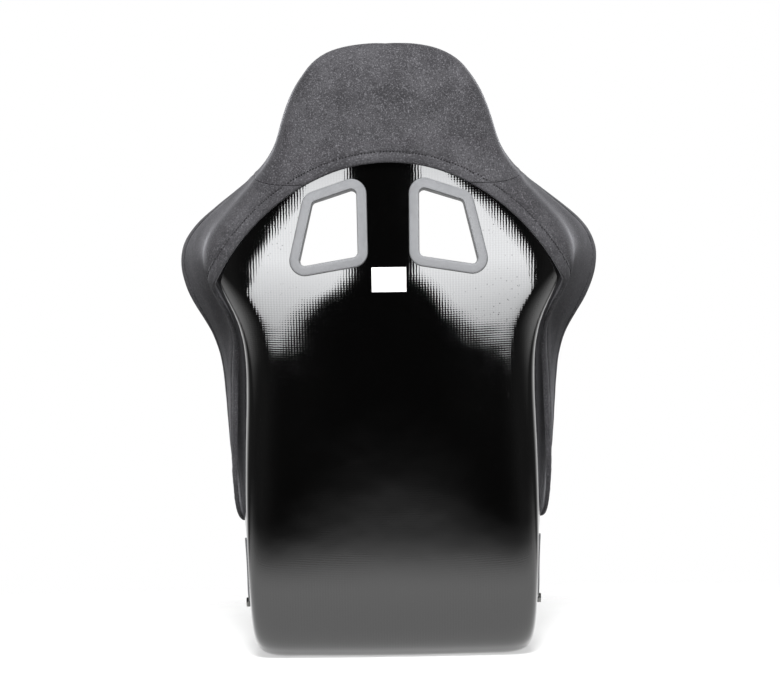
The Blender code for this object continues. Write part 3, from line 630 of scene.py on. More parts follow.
def slotPrism(seat, corners, radius):
    inside, outside = slots["cut"]
    mesh = bmesh.new()
    outline = ringPoints(corners, radius, slots["collar"] + slots["collarFit"])
    face = mesh.faces.new([mesh.verts.new(seat.spot(corner) + seat.axis * outside) for corner in outline])
    grown = bmesh.ops.extrude_face_region(mesh, geom=[face])["geom"]
    moved = [item for item in grown if isinstance(item, bmesh.types.BMVert)]
    bmesh.ops.translate(mesh, verts=moved, vec=-seat.axis * (inside + outside))
    return finishMesh("slotPrism", mesh, None, False)


def sweptRing(name, loops, material):
    loops = np.array(loops)
    columns, rows = loops.shape[:2]
    mesh = gridMesh(columns, rows)
    moveVerts(mesh, mesh.verts[:], lambda column, row: loops[column % columns, row % rows])
    bmesh.ops.remove_doubles(mesh, verts=mesh.verts[:], dist=1e-7)
    return finishMesh(name, mesh, material)


def makeBezel(name, shape, size, outer, depth, inner=None):
    seat, corners, radius = shape
    tree = inner or outer
    out = -1 if inner else 1
    flange, height = size
    collar, lift = slots["collar"], slots["lift"]
    rings = [(flange * share, height * rise) for share, rise in slots["section"]]
    rings += [(flange, lift), (collar, lift)]
    loops = []
    for grow, rise in rings:
        spots = ringPoints(corners, radius, grow)
        loops.append([seat.on(tree, spot, not inner) + seat.axis * rise * out for spot in spots])
    for grow in (collar, 0.0):
        spots = ringPoints(corners, radius, grow)
        loops.append([seat.on(outer, spot, True) - seat.axis * depth for spot in spots])
    piece = sweptRing(name, loops, finishes["bezel"])
    sharpen(piece, 42)
    return piece


def slotShapes():
    heights = smoothPoint(0.0, np.linspace(0.5, 0.95, 400))[:, 2]
    along = float(np.interp(slots["harnessHeight"], heights, np.linspace(0.5, 0.95, 400)))
    back = SlotSeat((0.0, along), (0, 1, 0), (-1, 0, 0))
    shapes = {}
    for side, name in ((-1, "left"), (1, "right")):
        corners = [(side * x, up) for x, up in slots["harness"]]
        shapes["harness_" + name] = (back, corners, slots["harnessRound"])
    across, row = slots["lapPlace"]
    for side, name in ((1, "left"), (-1, "right")):
        low, high = (Vector(smoothPoint(side * a, row)) for a in (0.6, 0.9))
        axis = outward(np.array(side * across), np.array(row))
        seat = SlotSeat((side * across, row), axis, high - low)
        shapes["lap_" + name] = (seat, rectangle(slots["lap"]), slots["lapRound"])
    below = SlotSeat(slots["crotchPlace"], (0, 0, -1), (1, 0, 0))
    shapes["crotch"] = (below, rectangle(slots["crotch"]), slots["crotchRound"])
    return shapes


coverPiece = {
    "thick": 0.0056,
    "gap": 0.0009,
    "slack": 0.0040,
    "slackStart": 0.1,
    "lip": 0.0075,
    "lipLift": 0.22,
    "hemReach": 0.072,
    "hemRise": (0.52, 0.66, 0.075),
    "hemTop": 0.6915,
    "hemSpring": 0.520,
    "hemSpan": 0.238,
    "hemPower": 1.35,
    "hemRows": 700,
    "hemSmooth": 40,
    "hemCrisp": (0.70, 0.74),  # from here on it stays as the arch has it
    "frontSeam": 2 / 28,
    "headSeam": 22 / 28,
    "seam": 0.0003,  # half of it between two covers, as a share of the way along
    "stitchIn": 0.0145,
    "turns": 12,
    "lipSteps": (0.35, 0.6, 0.78, 0.9, 0.97, 1.0),
    "core": 0.3,  # where the edges close, as a share of the thickness
    "sideRows": 215,
    "sideColumns": 13,
    "fullRows": 30,
    "fullLines": (15, 15, 22),  # columns up to the corner of the hem, up to brimLine, and on to the rim
    "brimLine": 0.84,
    "narrow": (0.45, 0.4),  # how much of a narrow side or full cover the lines by its edges may take up
    # ridges and grooves along an edge: distance from it, width, height, how uneven
    "hemRidges": (
        (0.00696, 0.0046, 0.0014, 0.0006),
        (0.0215, 0.0042, 0.0006, 0.0005),
        (0.0145, 0.0013, -0.0009, 0.0),
    ),
    "rimRidges": ((0.009, 0.0008, -0.0014, 0.0), (0.0045, 0.003, 0.0005, 0.0)),
    "seamRidges": ((0.006, 0.004, 0.0005, 0.0004),),
    "puckerSize": 0.0045,
    "folds": ((0.06, 5, 0.0007), (0.022, 8, 0.000315)),  # size, seed, height
    "hemRound": 0.0020,
    "seamRound": 0.0012,
}


def archHalfWidth(height):
    spring, top = coverPiece["hemSpring"], coverPiece["hemTop"]
    share = np.clip((height - spring) / (top - spring), 0, 1)
    return coverPiece["hemSpan"] * np.sqrt(1 - share ** coverPiece["hemPower"])


def relaxed(points, times):
    points = points.copy()
    for _ in range(times):
        points[1:-1] = points[1:-1] * 0.5 + (points[:-2] + points[2:]) * 0.25
    return points


def runLengths(points):
    return np.concatenate(([0], np.cumsum(np.linalg.norm(np.diff(points, axis=0), axis=1))))


def makeHemTable():  # across of the hem on rows all the way along, its corner rounded off
    along = np.linspace(0, 1, coverPiece["hemRows"])
    samples = np.linspace(0, 1, 1201)
    start, end, extra = coverPiece["hemRise"]
    rise = np.clip((along - start) / (end - start), 0, 1)
    reach = lineFromRim(along, coverPiece["hemReach"] + extra * rise**2 * (3 - 2 * rise))
    rows = smoothPoint(samples[None, :], along[:, None])
    bare = (rows[..., 0] < archHalfWidth(rows[..., 2])) | (rows[..., 2] < coverPiece["hemSpring"])
    line = np.minimum(reach, np.where(bare, samples[None, :], 0).max(axis=1))
    eased = relaxed(line, coverPiece["hemSmooth"])
    begin, finish = coverPiece["hemCrisp"]
    crisp = np.clip((along - begin) / (finish - begin), 0, 1)
    return along, eased * (1 - crisp) + line * crisp


hemTable = makeHemTable()


def hemLine(along):
    return np.interp(along, *hemTable)


def hemHeight(across):  # along of the hem on each line over the back
    seam = coverPiece["headSeam"]
    samples = np.linspace(seam, seam + 0.11, 1201)
    lines = smoothPoint(across[:, None], samples[None, :])
    bare = np.abs(lines[..., 0]) < archHalfWidth(lines[..., 2])
    return np.where(bare, samples[None, :], seam).max(axis=1)


def evenly(points, pitch):
    lengths = runLengths(points)
    places = np.linspace(0, lengths[-1], max(2, round(lengths[-1] / pitch) + 1))
    return np.stack([np.interp(places, lengths, points[:, axis]) for axis in range(3)], axis=1)


def hemCurve():
    along = np.linspace(coverPiece["frontSeam"], coverPiece["headSeam"], 500)
    side = smoothPoint(hemLine(along), along)
    across = np.linspace(hemLine(along[-1:])[0], 0, 200)
    top = smoothPoint(across, hemHeight(across))
    half = np.concatenate((side, top[1:]))
    whole = np.concatenate((half, half[-2::-1] * (-1, 1, 1)))
    return evenly(relaxed(whole, 60), 0.001)


def rimCurve():
    pieces = ((0, 0.06, 300), (0.06, 0.94, 1500), (0.94, 1, 300))  # denser at both poles
    along = np.concatenate([np.linspace(*piece) for piece in pieces])
    left = smoothPoint(1.0, along)
    return evenly(np.concatenate((left, left[::-1] * (-1, 1, 1))), 0.0008)


def seamCurve(along):
    across = np.linspace(-1, 1, 1500)
    return surfacePoint(across, along, coverPiece["gap"] + coverPiece["slack"] * 0.5)


def distanceTo(points, curve):
    tree = KDTree(len(curve))
    for number, point in enumerate(curve):
        tree.insert(point, number)
    tree.balance()
    return np.array([tree.find(point)[2] for point in points])


def roundEdge(distance, radius):
    return np.sqrt(1 - (1 - np.clip(distance / radius, 0, 1)) ** 2)


def softNoise(points, size, seed):
    shift = Vector((seed * 7.3, seed * 3.1, seed * 5.7))
    return np.array([noise.noise(Vector(point) / size + shift) for point in points])


curves = {
    "hem": hemCurve(),
    "rim": rimCurve(),
    "frontSeam": seamCurve(coverPiece["frontSeam"]),
    "headSeam": seamCurve(coverPiece["headSeam"]),
}


def coverHeights(base, lipEnd):  # thickness of the cover over points of the laminate
    edges = ("hem", "rim", "frontSeam", "headSeam")
    toHem, toRim, toFront, toHead = (distanceTo(base, curves[key]) for key in edges)
    toSeam = np.minimum(toFront, toHead)
    pucker = softNoise(base, coverPiece["puckerSize"], 2)
    body = np.full(len(base), coverPiece["thick"])
    for distance, ridges in ((toHem, "hemRidges"), (toRim, "rimRidges"), (toSeam, "seamRidges")):
        for middle, width, height, uneven in coverPiece[ridges]:
            body += np.exp(-(((distance - middle) / width) ** 2)) * (height + uneven * pucker)
    for size, seed, height in coverPiece["folds"]:
        body += softNoise(base, size, seed) * height
    edge = roundEdge(toHem, coverPiece["hemRound"]) * lipEnd
    return body, edge * roundEdge(np.maximum(toSeam - 0.0002, 0), coverPiece["seamRound"])


def coverPoint(side, across, along, turn, lip, rise):
    slack = coverPiece["slack"] * np.clip((1 - np.abs(across)) / coverPiece["slackStart"], 0, 1)
    skin = surfacePoint(across, along, coverPiece["gap"] + slack + rise)
    middle = surfacePoint(side, along, -seatForm["wall"] / 2)
    radius = (seatForm["wall"] / 2 + coverPiece["gap"] + rise)[:, None]
    normal, away = outward(side, along), rimOutward(side, along)
    roll = middle + radius * (np.cos(turn)[:, None] * normal + np.sin(turn)[:, None] * away)
    roll = roll - (away + normal * coverPiece["lipLift"]) * lip[:, None]
    return np.where((turn == 0)[:, None], skin, roll)


# How far from the hem, the rim and a seam the lines of a cover's grid stand, written in millimetres.
hemSteps = (0, 0.4, 1.1, 2.2, 3.6, 5.2, 7, 9, 11, 12.6, 13.5, 14.1, 14.6, 15.1, 15.7, 16.6, 18, 20, 23)
hemSteps = np.array(hemSteps) / 1000
seamSteps = np.array((0, 0.4, 1.0, 1.8, 3.0)) / 1000
topSteps = np.array((26, 20, 16, 13, 11, 10, 9.4, 9, 8.6, 8, 7, 5.5, 4, 2.5, 1.2, 0)) / 1000
rimSteps = np.array((18, 14, 12, 10.8, 10, 9.5, 9.1, 8.7, 8.2, 7.4, 6, 4.4, 2.8, 1.3, 0)) / 1000


def rollTable():  # turn, lip and thickness of the columns past the rim
    turns = np.linspace(0, math.pi, coverPiece["turns"] + 1)[1:]
    lips = coverPiece["lip"] * np.array(coverPiece["lipSteps"])
    full = np.ones(len(turns))
    ends = roundEdge(coverPiece["lip"] - lips, coverPiece["lip"] * 0.5)
    return (
        np.concatenate((turns, np.full(len(lips), math.pi))),
        np.concatenate((np.zeros(len(turns)), lips)),
        np.concatenate((full, ends)),
    )


def coverMesh(name, side, across, along, turn, lip, lipEnd):  # every table is columns by rows
    columns, rows = across.shape[0] - 1, across.shape[1] - 1
    flat = [np.ascontiguousarray(table).reshape(-1) for table in (side, across, along, turn, lip, lipEnd)]
    base = smoothPoint(flat[1], flat[2])
    body, edge = coverHeights(base, flat[5])
    core = coverPiece["core"]
    inner = coverPoint(*flat[:5], coverPiece["thick"] * core * (1 - edge))
    outer = coverPoint(*flat[:5], body * (core + (1 - core) * edge))
    skins = (inner.reshape(columns + 1, rows + 1, 3), outer.reshape(columns + 1, rows + 1, 3))

    def place(column, row, level):
        return skins[int(level)][column, row]

    return twoSkins(name, columns, rows, place, finishes["cover"])


def sideCover(name, sign):
    low, high = coverPiece["frontSeam"], coverPiece["headSeam"]
    seam = coverPiece["seam"]
    middle = np.linspace(low + seam + 0.006, high - seam - 0.006, coverPiece["sideRows"])
    along = np.concatenate((low + seam + seamSteps, middle, high - seam - seamSteps[::-1]))
    hem = hemLine(along)
    lines, lengths = arcTable(along)
    hemArc = np.array([np.interp(place, lines, row) for place, row in zip(hem, lengths)])
    width = lengths[:, -1] - hemArc
    points = smoothPoint(hem, along)
    tangent = unit(np.gradient(points, axis=0))
    sideways = unit(smoothPoint(hem + 1e-3, along) - smoothPoint(hem - 1e-3, along))
    lean = np.clip(np.linalg.norm(np.cross(tangent, sideways), axis=-1), 0.4, 1)
    near = hemSteps[:, None] / lean[None, :]
    far = width[None, :] - rimSteps[:, None]
    near = np.minimum(near, width[None, :] * coverPiece["narrow"][0] * (hemSteps / hemSteps[-1])[:, None])
    shares = np.linspace(0, 1, coverPiece["sideColumns"] + 2)[1:-1, None]
    middle = near[-1] * (1 - shares) + far[0] * shares
    arcs = np.concatenate((near, middle, far)) + hemArc[None, :]
    across = np.array([np.interp(column, row, lines) for column, row in zip(arcs.T, lengths)]).T
    across[-1] = 1.0
    turn, lip, lipEnd = rollTable()
    count = len(turn)
    across = np.concatenate((across, np.ones((count, len(along)))))
    flatColumns = len(across) - count
    tables = []
    for table, start in ((turn, 0.0), (lip, 0.0), (lipEnd, 1.0)):
        column = np.concatenate((np.full(flatColumns, start), table))
        tables.append(np.repeat(column[:, None], len(along), axis=1))
    alongs = np.repeat(along[None, :], len(across), axis=0)
    return coverMesh(name, np.full(across.shape, float(sign)), across * sign, alongs, *tables)


def fullCover(name, low, high):  # a cover over the middle of the seat, rolled round the rim on both sides
    brim = coverPiece["brimLine"]
    corner = hemLine(coverPiece["headSeam"])  # a column stands where the hem meets the head seam
    inner, outer, last = coverPiece["fullLines"]
    half = [np.linspace(0, corner, inner + 1)[:-1], np.linspace(corner, brim, outer + 1)[:-1]]
    half = np.concatenate((*half, np.linspace(brim, 1, last)))
    across = np.concatenate((-half[:0:-1], half))
    turn, lip, lipEnd = rollTable()
    across = np.concatenate((np.full(len(turn), -1.0), across, np.full(len(turn), 1.0)))
    tables = []
    for table, start in ((turn, 0.0), (lip, 0.0), (lipEnd, 1.0)):
        middle = np.full(len(half) * 2 - 1, start)
        tables.append(np.concatenate((table[::-1], middle, table)))
    low = low(np.abs(across))
    samples = np.linspace(0, 1, 241)
    alongs = []
    for line, start in zip(across, low):
        places = start + (high - start) * samples
        lengths = runLengths(smoothPoint(line, places))
        most = lengths[-1] * coverPiece["narrow"][1]
        near = np.minimum(hemSteps, most * hemSteps / hemSteps[-1])
        far = lengths[-1] - np.minimum(topSteps, most * topSteps / topSteps[0])
        middle = np.linspace(near[-1], far[0], coverPiece["fullRows"] + 2)[1:-1]
        alongs.append(np.interp(np.concatenate((near, middle, far)), lengths, places))
    alongs = np.array(alongs)
    rows = alongs.shape[1]
    spread = [np.repeat(table[:, None], rows, axis=1) for table in (across, *tables)]
    side = np.where(spread[0] < 0, -1.0, 1.0)
    return coverMesh(name, side, spread[0], alongs, *spread[1:])


def makeCovers():
    seam = coverPiece["seam"]

    def headLow(across):
        return np.maximum(hemHeight(across), coverPiece["headSeam"] + seam)

    def frontLow(across):
        return np.full(across.shape, coverPiece["frontSeam"] - seam)

    return {
        "head_cover": fullCover("headCover", headLow, 1.0),
        "front_cover": fullCover("frontCover", frontLow, 0.0),
        "side_cover_left": sideCover("sideCoverLeft", 1),
        "side_cover_right": sideCover("sideCoverRight", -1),
    }


shapes = slotShapes()
shell, bosses, drills = makeShell()
carve(shell, bosses, "UNION")
shellTree = treeOf(shell)  # the laminate before its slots are cut
carve(shell, [slotPrism(*shape) for shape in shapes.values()] + drills)
sharpen(shell, 35)
settle(shell, "gel_coat", "shell")
print("shell:", len(shell.data.polygons))

covers = makeCovers()
for node, piece in covers.items():
    settle(piece, "cover_fabric", node)
    print(piece.name, len(piece.data.polygons))

for side in ("left", "right"):
    for place, style in (("harness", "flange"), ("lap", "smallFlange")):
        outer = "rear" if place == "harness" else "outer"
        title = place + "Bezel" + side.title()
        bezel = makeBezel(title, shapes[place + "_" + side], slots[style], shellTree, slots["collarDepth"])
        settle(bezel, "bezel_plastic", f"{place}_bezel_{outer}_{side}")
print("outer bezels")


labelPiece = {"size": (0.0470, 0.0330, 0.0006), "place": (0.0, 0.535), "lift": 0.0003, "grid": (16, 12)}


def makeLabel():
    x, z = labelPiece["place"]
    width, height, thick = labelPiece["size"]
    columns, rows = labelPiece["grid"]

    def place(column, row, level):
        spots = zip(x + (column / columns - 0.5) * width, z + (row / rows - 0.5) * height)
        hits = [shellTree.ray_cast(Vector((a, 1.0, b)), Vector((0, -1, 0)))[:2] for a, b in spots]
        return [spot + normal * (labelPiece["lift"] + thick * level) for spot, normal in hits]

    label = twoSkins("blankLabel", columns, rows, place, finishes["label"])
    sharpen(label, 40)
    return label


settle(makeLabel(), "label_foil", "rating_label")
print("label")


stitchPiece = {"pitch": 0.0046, "length": 0.0030, "width": 0.0019, "lift": 0.0004}


def makeStitches(name, points, normals, style):
    mesh = bmesh.new()
    lengths = runLengths(points)
    for place in np.arange(style["pitch"], lengths[-1] - style["pitch"], style["pitch"]):
        number = min(int(np.searchsorted(lengths, place)), len(points) - 2)
        run = Vector(unit(points[number + 1] - points[number - 1]))
        normal = Vector(normals[number])
        normal = (normal - run * normal.dot(run)).normalized()
        turn = Matrix((run, normal.cross(run), normal)).transposed().to_4x4()
        centre = Vector(points[number]) + normal * style["lift"]
        size = Matrix.Diagonal((style["length"] / 2, style["width"] / 2, style["width"] / 2, 1))
        turn = Matrix.Translation(centre) @ turn @ size
        bmesh.ops.create_icosphere(mesh, subdivisions=1, radius=1.0, matrix=turn)
    return finishMesh(name, mesh, finishes["thread"])


def hemStitches(covers):  # along a line on the covers, beside the hem
    curve = evenly(curves["hem"], 0.004)
    run = unit(np.concatenate((curve[1:2] - curve[:1], curve[2:] - curve[:-2], curve[-1:] - curve[-2:-1])))
    trees = [treeOf(piece) for piece in covers]
    normals = np.array([shellTree.find_nearest(Vector(point))[1] for point in curve])
    inward = unit(np.cross(normals, run)) * coverPiece["stitchIn"] + normals * 0.009
    hits = []
    for point in curve + inward:
        found = [tree.find_nearest(Vector(point)) for tree in trees]
        hits.append(min(found, key=lambda hit: hit[3])[:2])
    points, normals = (np.array(table) for table in zip(*hits))
    return makeStitches("hemThread", points, normals, stitchPiece)


settle(hemStitches(covers.values()), "cover_fabric")
print("hem thread")

fastenPiece = {
    "head": (0.013, 0.0053),
    "thread": 0.008,
    "length": 0.025,
    "plain": 0.003,  # the shank that has no thread
    "pitch": (0.00125, 0.0006),
    "washer": (0.016, 0.0016),
    "washerHole": 0.0086,
    "plate": (0.003, 0.048, 0.034),
    "nut": (0.013, 0.0065),
    "nutHole": 0.0084,
    "fit": 0.0004,
    "bevel": 0.0005,
    "recess": 0.003,
}

padPiece = {
    "inset": 0.0115,  # from the rim to the padding's edge
    "edge": 0.62,  # height at a seam, as a share of the height in the middle
    "rimEdge": 0.42,
    "fit": 0.0007,
    "pitch": 0.0072,
    # rings of points round a pad, from its seam inwards: distance from the seam, share of the height
    "wall": ((0.0022, 0.0), (0.0012, 0.3), (0.0011, 0.58), (0.0019, 0.80), (0.0042, 0.93), (0.0085, 0.985)),
    "back": (0.0022, 0.0028, 0.0036, 0.0046, 0.006, 0.0085),  # the same on its back
    "pressure": 4.0,
    "frames": 20,
    "stretch": -0.03,
    "bending": 0.3,
    "cap": 0.0065,  # how far a point may move
    "seamCap": 0.15,  # at a seam, as a share of that
    "capReach": 0.030,  # distance from the seam by which it may move that far
    "samples": 60,
    "thread": {"pitch": 0.0062, "length": 0.0040, "width": 0.0009, "lift": 0.0002},
}

padPlaces = {  # lines across, lines along
    "seat_cushion": ((-4, 4), (1, 8)),
    "lumbar_pad": ((-4, 4), (8, 13)),
    "back_pad": ((-4, 4), (13, 18)),
    "harness_panel": ((-3, 3), (18, 23)),
    "head_pad": ((-10, 10), (23, 26.5)),
    "thigh_bolster_left": ((4, 10), (2, 8)),
    "hip_pad_left": ((4, 10), (8, 10)),
    "torso_bolster_left": ((4, 10), (10, 18)),
    "shoulder_pad_left": ((3, 10), (18, 23)),
}


def makePadEdge():  # across of the padding's edge, by along
    along = np.linspace(0.0, 1.0, 337)
    return along, np.clip(lineFromRim(along, padPiece["inset"]), 0.8, 0.985)


padEdge = makePadEdge()


def padAcross(line, edgeLine):  # across of a line, whole or not, numbered outwards from the middle
    size = np.abs(line)
    lines = seatForm["lines"]
    spread = np.minimum(1, edgeLine / (1 - 0.5 / lines))
    last = np.clip(size - (lines - 1), 0, 1)
    place = np.minimum(size, lines - 1) / lines * spread
    return np.sign(line) * (place * (1 - last) + edgeLine * last)


def spacedShares(length, insets, count):  # of the way over a pad: its rings at both ends, even between
    near = insets[None, :] / length[:, None]
    even = np.linspace(0, 1, count + 1)[None, 1:-1]
    middle = near[:, -1:] + (1 - 2 * near[:, -1:]) * even
    return np.concatenate((near, middle, 1 - near[:, ::-1]), axis=1)


def makePad(title, lines, rows):
    (first, last), (low, high) = lines, rows
    steps = seatForm["rows"]
    many = np.linspace(0, 1, padPiece["samples"])

    def spot(line, along):
        return padAcross(line, np.interp(along, *padEdge)), along

    def lengthOf(line, row):  # of a run over the laminate, by lines across and lines along
        points = smoothPoint(*spot(line, row / steps))
        return np.linalg.norm(np.diff(points, axis=-2), axis=-1).sum(axis=-1)

    def widthAt(share):
        return lengthOf(first + (last - first) * many, np.full(len(many), low + (high - low) * share))

    def lengthAt(share):
        return lengthOf(np.full(len(many), first + (last - first) * share), low + (high - low) * many)

    walls = np.array(padPiece["wall"])
    sizes = [widthAt(0.5), lengthAt(0.5)]
    counts = [max(4, round(size / padPiece["pitch"])) for size in sizes]
    heights = [np.concatenate((walls[:, 1], np.ones(count - 1), walls[::-1, 1])) for count in counts]
    columns, length = len(heights[0]) - 1, len(heights[1]) - 1
    skins = []
    for insets in (np.array(padPiece["back"]), walls[:, 0]):
        shares = [spacedShares(np.array([size]), insets, count)[0] for size, count in zip(sizes, counts)]
        widths = np.array([widthAt(share) for share in shares[1]])
        lengths = np.array([lengthAt(share) for share in shares[0]])
        shareAcross = spacedShares(np.maximum(widths, 0.03), insets, counts[0]).T
        shareAlong = spacedShares(np.maximum(lengths, 0.03), insets, counts[1])
        line = first + (last - first) * shareAcross
        across, along = spot(line, (low + (high - low) * shareAlong) / steps)
        back = surfacePoint(across, along, -seatForm["wall"] - padPiece["fit"])
        face = smoothPoint(across, along, paddingCage)
        thickness = np.linalg.norm(face - back, axis=-1, keepdims=True)
        beside = np.clip(np.abs(line) - (seatForm["lines"] - 1), 0, 1)[..., None]
        square = back - outward(across, along) * thickness
        face = face * (1 - beside) + square * beside
        edge = padPiece["edge"] + (padPiece["rimEdge"] - padPiece["edge"]) * beside
        crown = (1 - (2 * shareAcross - 1) ** 4) * (1 - (2 * shareAlong - 1) ** 4)
        rise = np.minimum(heights[0][:, None], heights[1][None, :])[..., None]
        level = 0.0 if not skins else rise
        skins.append(back + (face - back) * (edge + (1 - edge) * crown[..., None]) * level)

    def place(column, row, level):
        return skins[int(level)][column, row]

    pad = twoSkins(title, columns, length, place, finishes["pad"])
    pad["shape"] = (columns, length)
    return pad


def gridPlaces(piece, skin):  # where the points of a skin are, by column and row
    columns, rows = piece["shape"]
    mesh = meshOf(piece)
    layers = [mesh.verts.layers.int[key] for key in ("column", "row", "skin")]
    table = np.full((columns + 1, rows + 1, 3), np.nan)
    for vert in mesh.verts:
        if vert[layers[2]] == skin:
            table[vert[layers[0]], vert[layers[1]]] = vert.co
    mesh.free()
    return table


def puffUp(pads):  # one cloth simulation for all the pads
    ring = len(padPiece["wall"])
    for pad in pads:
        columns, rows = pad["shape"]
        group = pad.vertex_groups.new(name="sewn")
        mesh = pad.data
        tables = {key: np.empty(len(mesh.vertices), np.int32) for key in ("column", "row", "skin")}
        for key, table in tables.items():
            mesh.attributes[key].data.foreach_get("value", table)
        column, row = tables["column"], tables["row"]
        nearest = np.minimum(np.minimum(column, columns - column), np.minimum(row, rows - row))
        held = (tables["skin"] == 0) | (nearest < ring)
        group.add([int(i) for i in np.flatnonzero(held)], 1.0, "REPLACE")
        cloth = pad.modifiers.new("Cloth", "CLOTH")
        cloth.settings.vertex_group_mass = "sewn"
        cloth.settings.use_pressure = True
        cloth.settings.uniform_pressure_force = padPiece["pressure"]
        cloth.settings.shrink_min = padPiece["stretch"]
        cloth.settings.bending_stiffness = padPiece["bending"]
        cloth.settings.effector_weights.gravity = 0
        cloth.point_cache.frame_end = padPiece["frames"]
    for number in range(1, padPiece["frames"] + 1):
        scene.frame_set(number)
    graph = bpy.context.evaluated_depsgraph_get()
    for pad in pads:
        count = len(pad.data.vertices)
        before, after = np.empty(count * 3), np.empty(count * 3)
        pad.data.vertices.foreach_get("co", before)
        pad.evaluated_get(graph).data.vertices.foreach_get("co", after)
        before, after = before.reshape(-1, 3), after.reshape(-1, 3)
        move = after - before
        top = gridPlaces(pad, 1)
        ends = [ring, -1 - ring]
        walls = np.concatenate([part.reshape(-1, 3) for part in (top[ends], top[:, ends])])
        reach = np.clip(distanceTo(before, walls[~np.isnan(walls[:, 0])]) / padPiece["capReach"], 0, 1)
        seamCap = padPiece["seamCap"]
        cap = padPiece["cap"] * (seamCap + (1 - seamCap) * roundEdge(reach, 1.0))
        size = np.linalg.norm(move, axis=1)
        move *= (cap * np.tanh(size / cap) / np.maximum(size, 1e-9))[:, None]
        print("%s moved up to %.1f mm" % (pad.name, 1000 * np.linalg.norm(move, axis=1).max()))
        pad.modifiers.clear()
        pad.vertex_groups.clear()
        pad.data.vertices.foreach_set("co", (before + move).ravel())
        pad.data.update()
    scene.frame_set(1)


def padThread(pad, name):  # a row of stitches inside the seams
    ring = len(padPiece["wall"]) + 1
    far = -1 - ring
    top = gridPlaces(pad, 1)
    sides = (top[ring:-ring, ring], top[far, ring:-ring], top[far:ring:-1, far], top[ring, far:ring:-1])
    path = np.concatenate(sides)
    path = evenly(np.concatenate((path, path[:1])), 0.002)
    tree = treeOf(pad)
    hits = [tree.find_nearest(Vector(point))[:2] for point in path]
    points, normals = (np.array(table) for table in zip(*hits))
    return makeStitches(name, points, normals, padPiece["thread"])


def smoothOnce(piece):
    change = piece.modifiers.new("smooth", "SUBSURF")
    change.levels = change.render_levels = 1
    applyModifiers(piece)
    piece.data.polygons.foreach_set("use_smooth", [True] * len(piece.data.polygons))


def mirrored(piece, name):
    mesh = meshOf(piece)
    bmesh.ops.scale(mesh, vec=(-1, 1, 1), verts=mesh.verts[:])
    bmesh.ops.reverse_faces(mesh, faces=mesh.faces[:])
    return finishMesh(name, mesh, piece.data.materials[0], True, False)


def titleOf(node):
    first, *others = node.split("_")
    return first + "".join(word.title() for word in others)


pads = {node: makePad(titleOf(node), *place) for node, place in padPlaces.items()}
print("pads:", len(pads))
puffUp(pads.values())
threads = {node: padThread(pad, titleOf(node) + "Thread") for node, pad in pads.items()}
for node, pad in list(pads.items()):
    smoothOnce(pad)
    if node.endswith("_left"):
        other = node.replace("_left", "_right")
        pads[other] = mirrored(pad, titleOf(other))
        threads[other] = mirrored(threads[node], titleOf(other) + "Thread")

lining = {  # the pad that each slot runs through
    "harness_left": "harness_panel",
    "harness_right": "harness_panel",
    "lap_left": "hip_pad_left",
    "lap_right": "hip_pad_right",
    "crotch": "seat_cushion",
}
innerBezels = {"harness": "harness_bezel_front", "lap": "lap_bezel_inner", "crotch": "crotch_bezel_upper"}
padTrees = {node: treeOf(pads[node]) for node in set(lining.values())}
for place, node in lining.items():
    kind, _, side = place.partition("_")
    style = slots["flange"] if kind == "harness" else slots["smallFlange"]
    depth = (seatForm["wall"] if kind == "crotch" else slots["collarDepth"]) + slots["lift"]
    inner = innerBezels[kind] + ("_" + side if side else "")
    bezel = makeBezel(titleOf(inner), shapes[place], style, shellTree, depth, padTrees[node])
    settle(bezel, "bezel_plastic", inner)
lower = makeBezel("crotchBezelLower", shapes["crotch"], slots["smallFlange"], shellTree, seatForm["wall"])
settle(lower, "bezel_plastic", "crotch_bezel_lower")
print("inner bezels")


def recessBox(side, spot):
    size, fit = shellPiece["boss"], fastenPiece["recess"]
    depth = fastenPiece["length"] - fastenPiece["washer"][1] - size[0] + 2 * fit
    room = (depth + size[0], size[1] + fit, size[2] + fit)
    return boxPiece("recess", room, (side * (shellPiece["bossFace"] + fit / 2 - room[0] / 2), *spot))


for node, pad in pads.items():
    cuts = [slotPrism(*shapes[place]) for place, holder in lining.items() if holder == node]
    if node.startswith(("thigh_bolster", "hip_pad")):
        side = 1 if node.endswith("left") else -1
        cuts += [recessBox(side, spot) for spot in shellPiece["boltPlaces"]]
    if cuts:
        carve(pad, cuts)
    settle(pad, "pad_fabric", node)
    settle(threads[node], "pad_fabric")
print("padding")


def turned(profile, segments=48):  # a closed ring or pin spun round X from (radius, x) points
    mesh = bmesh.new()
    verts = [mesh.verts.new((x, radius, 0)) for radius, x in profile]
    edges = [mesh.edges.new(pair) for pair in zip(verts, verts[1:] + verts[:1])]
    way = {"axis": (1, 0, 0), "angle": 2 * math.pi, "steps": segments}
    bmesh.ops.spin(mesh, geom=verts + edges, cent=(0, 0, 0), **way)
    bmesh.ops.remove_doubles(mesh, verts=mesh.verts[:], dist=1e-6)
    return mesh


def ringProfile(inner, outer, length, bevel):
    return (
        (inner, bevel),
        (inner + bevel, 0),
        (outer - bevel, 0),
        (outer, bevel),
        (outer, length - bevel),
        (outer - bevel, length),
        (inner + bevel, length),
        (inner, length - bevel),
    )


def hexPiece(name, acrossFlats, height, hole=0.0):  # along X from 0, its corners chamfered
    mesh = bmesh.new()
    radius = acrossFlats / math.sqrt(3)
    turn = Matrix.Translation((height / 2, 0, 0)) @ Matrix.Rotation(math.pi / 2, 4, "Y")
    addCylinder(mesh, 6, radius, height, turn)
    bevelEdges(mesh, fastenPiece["bevel"])
    piece = finishMesh(name, mesh, finishes["steel"])
    if hole:
        carve(piece, [rodPiece("bore", hole, (height / 2, 0, 0), height * 3)])
    sharpen(piece, 30)
    return piece


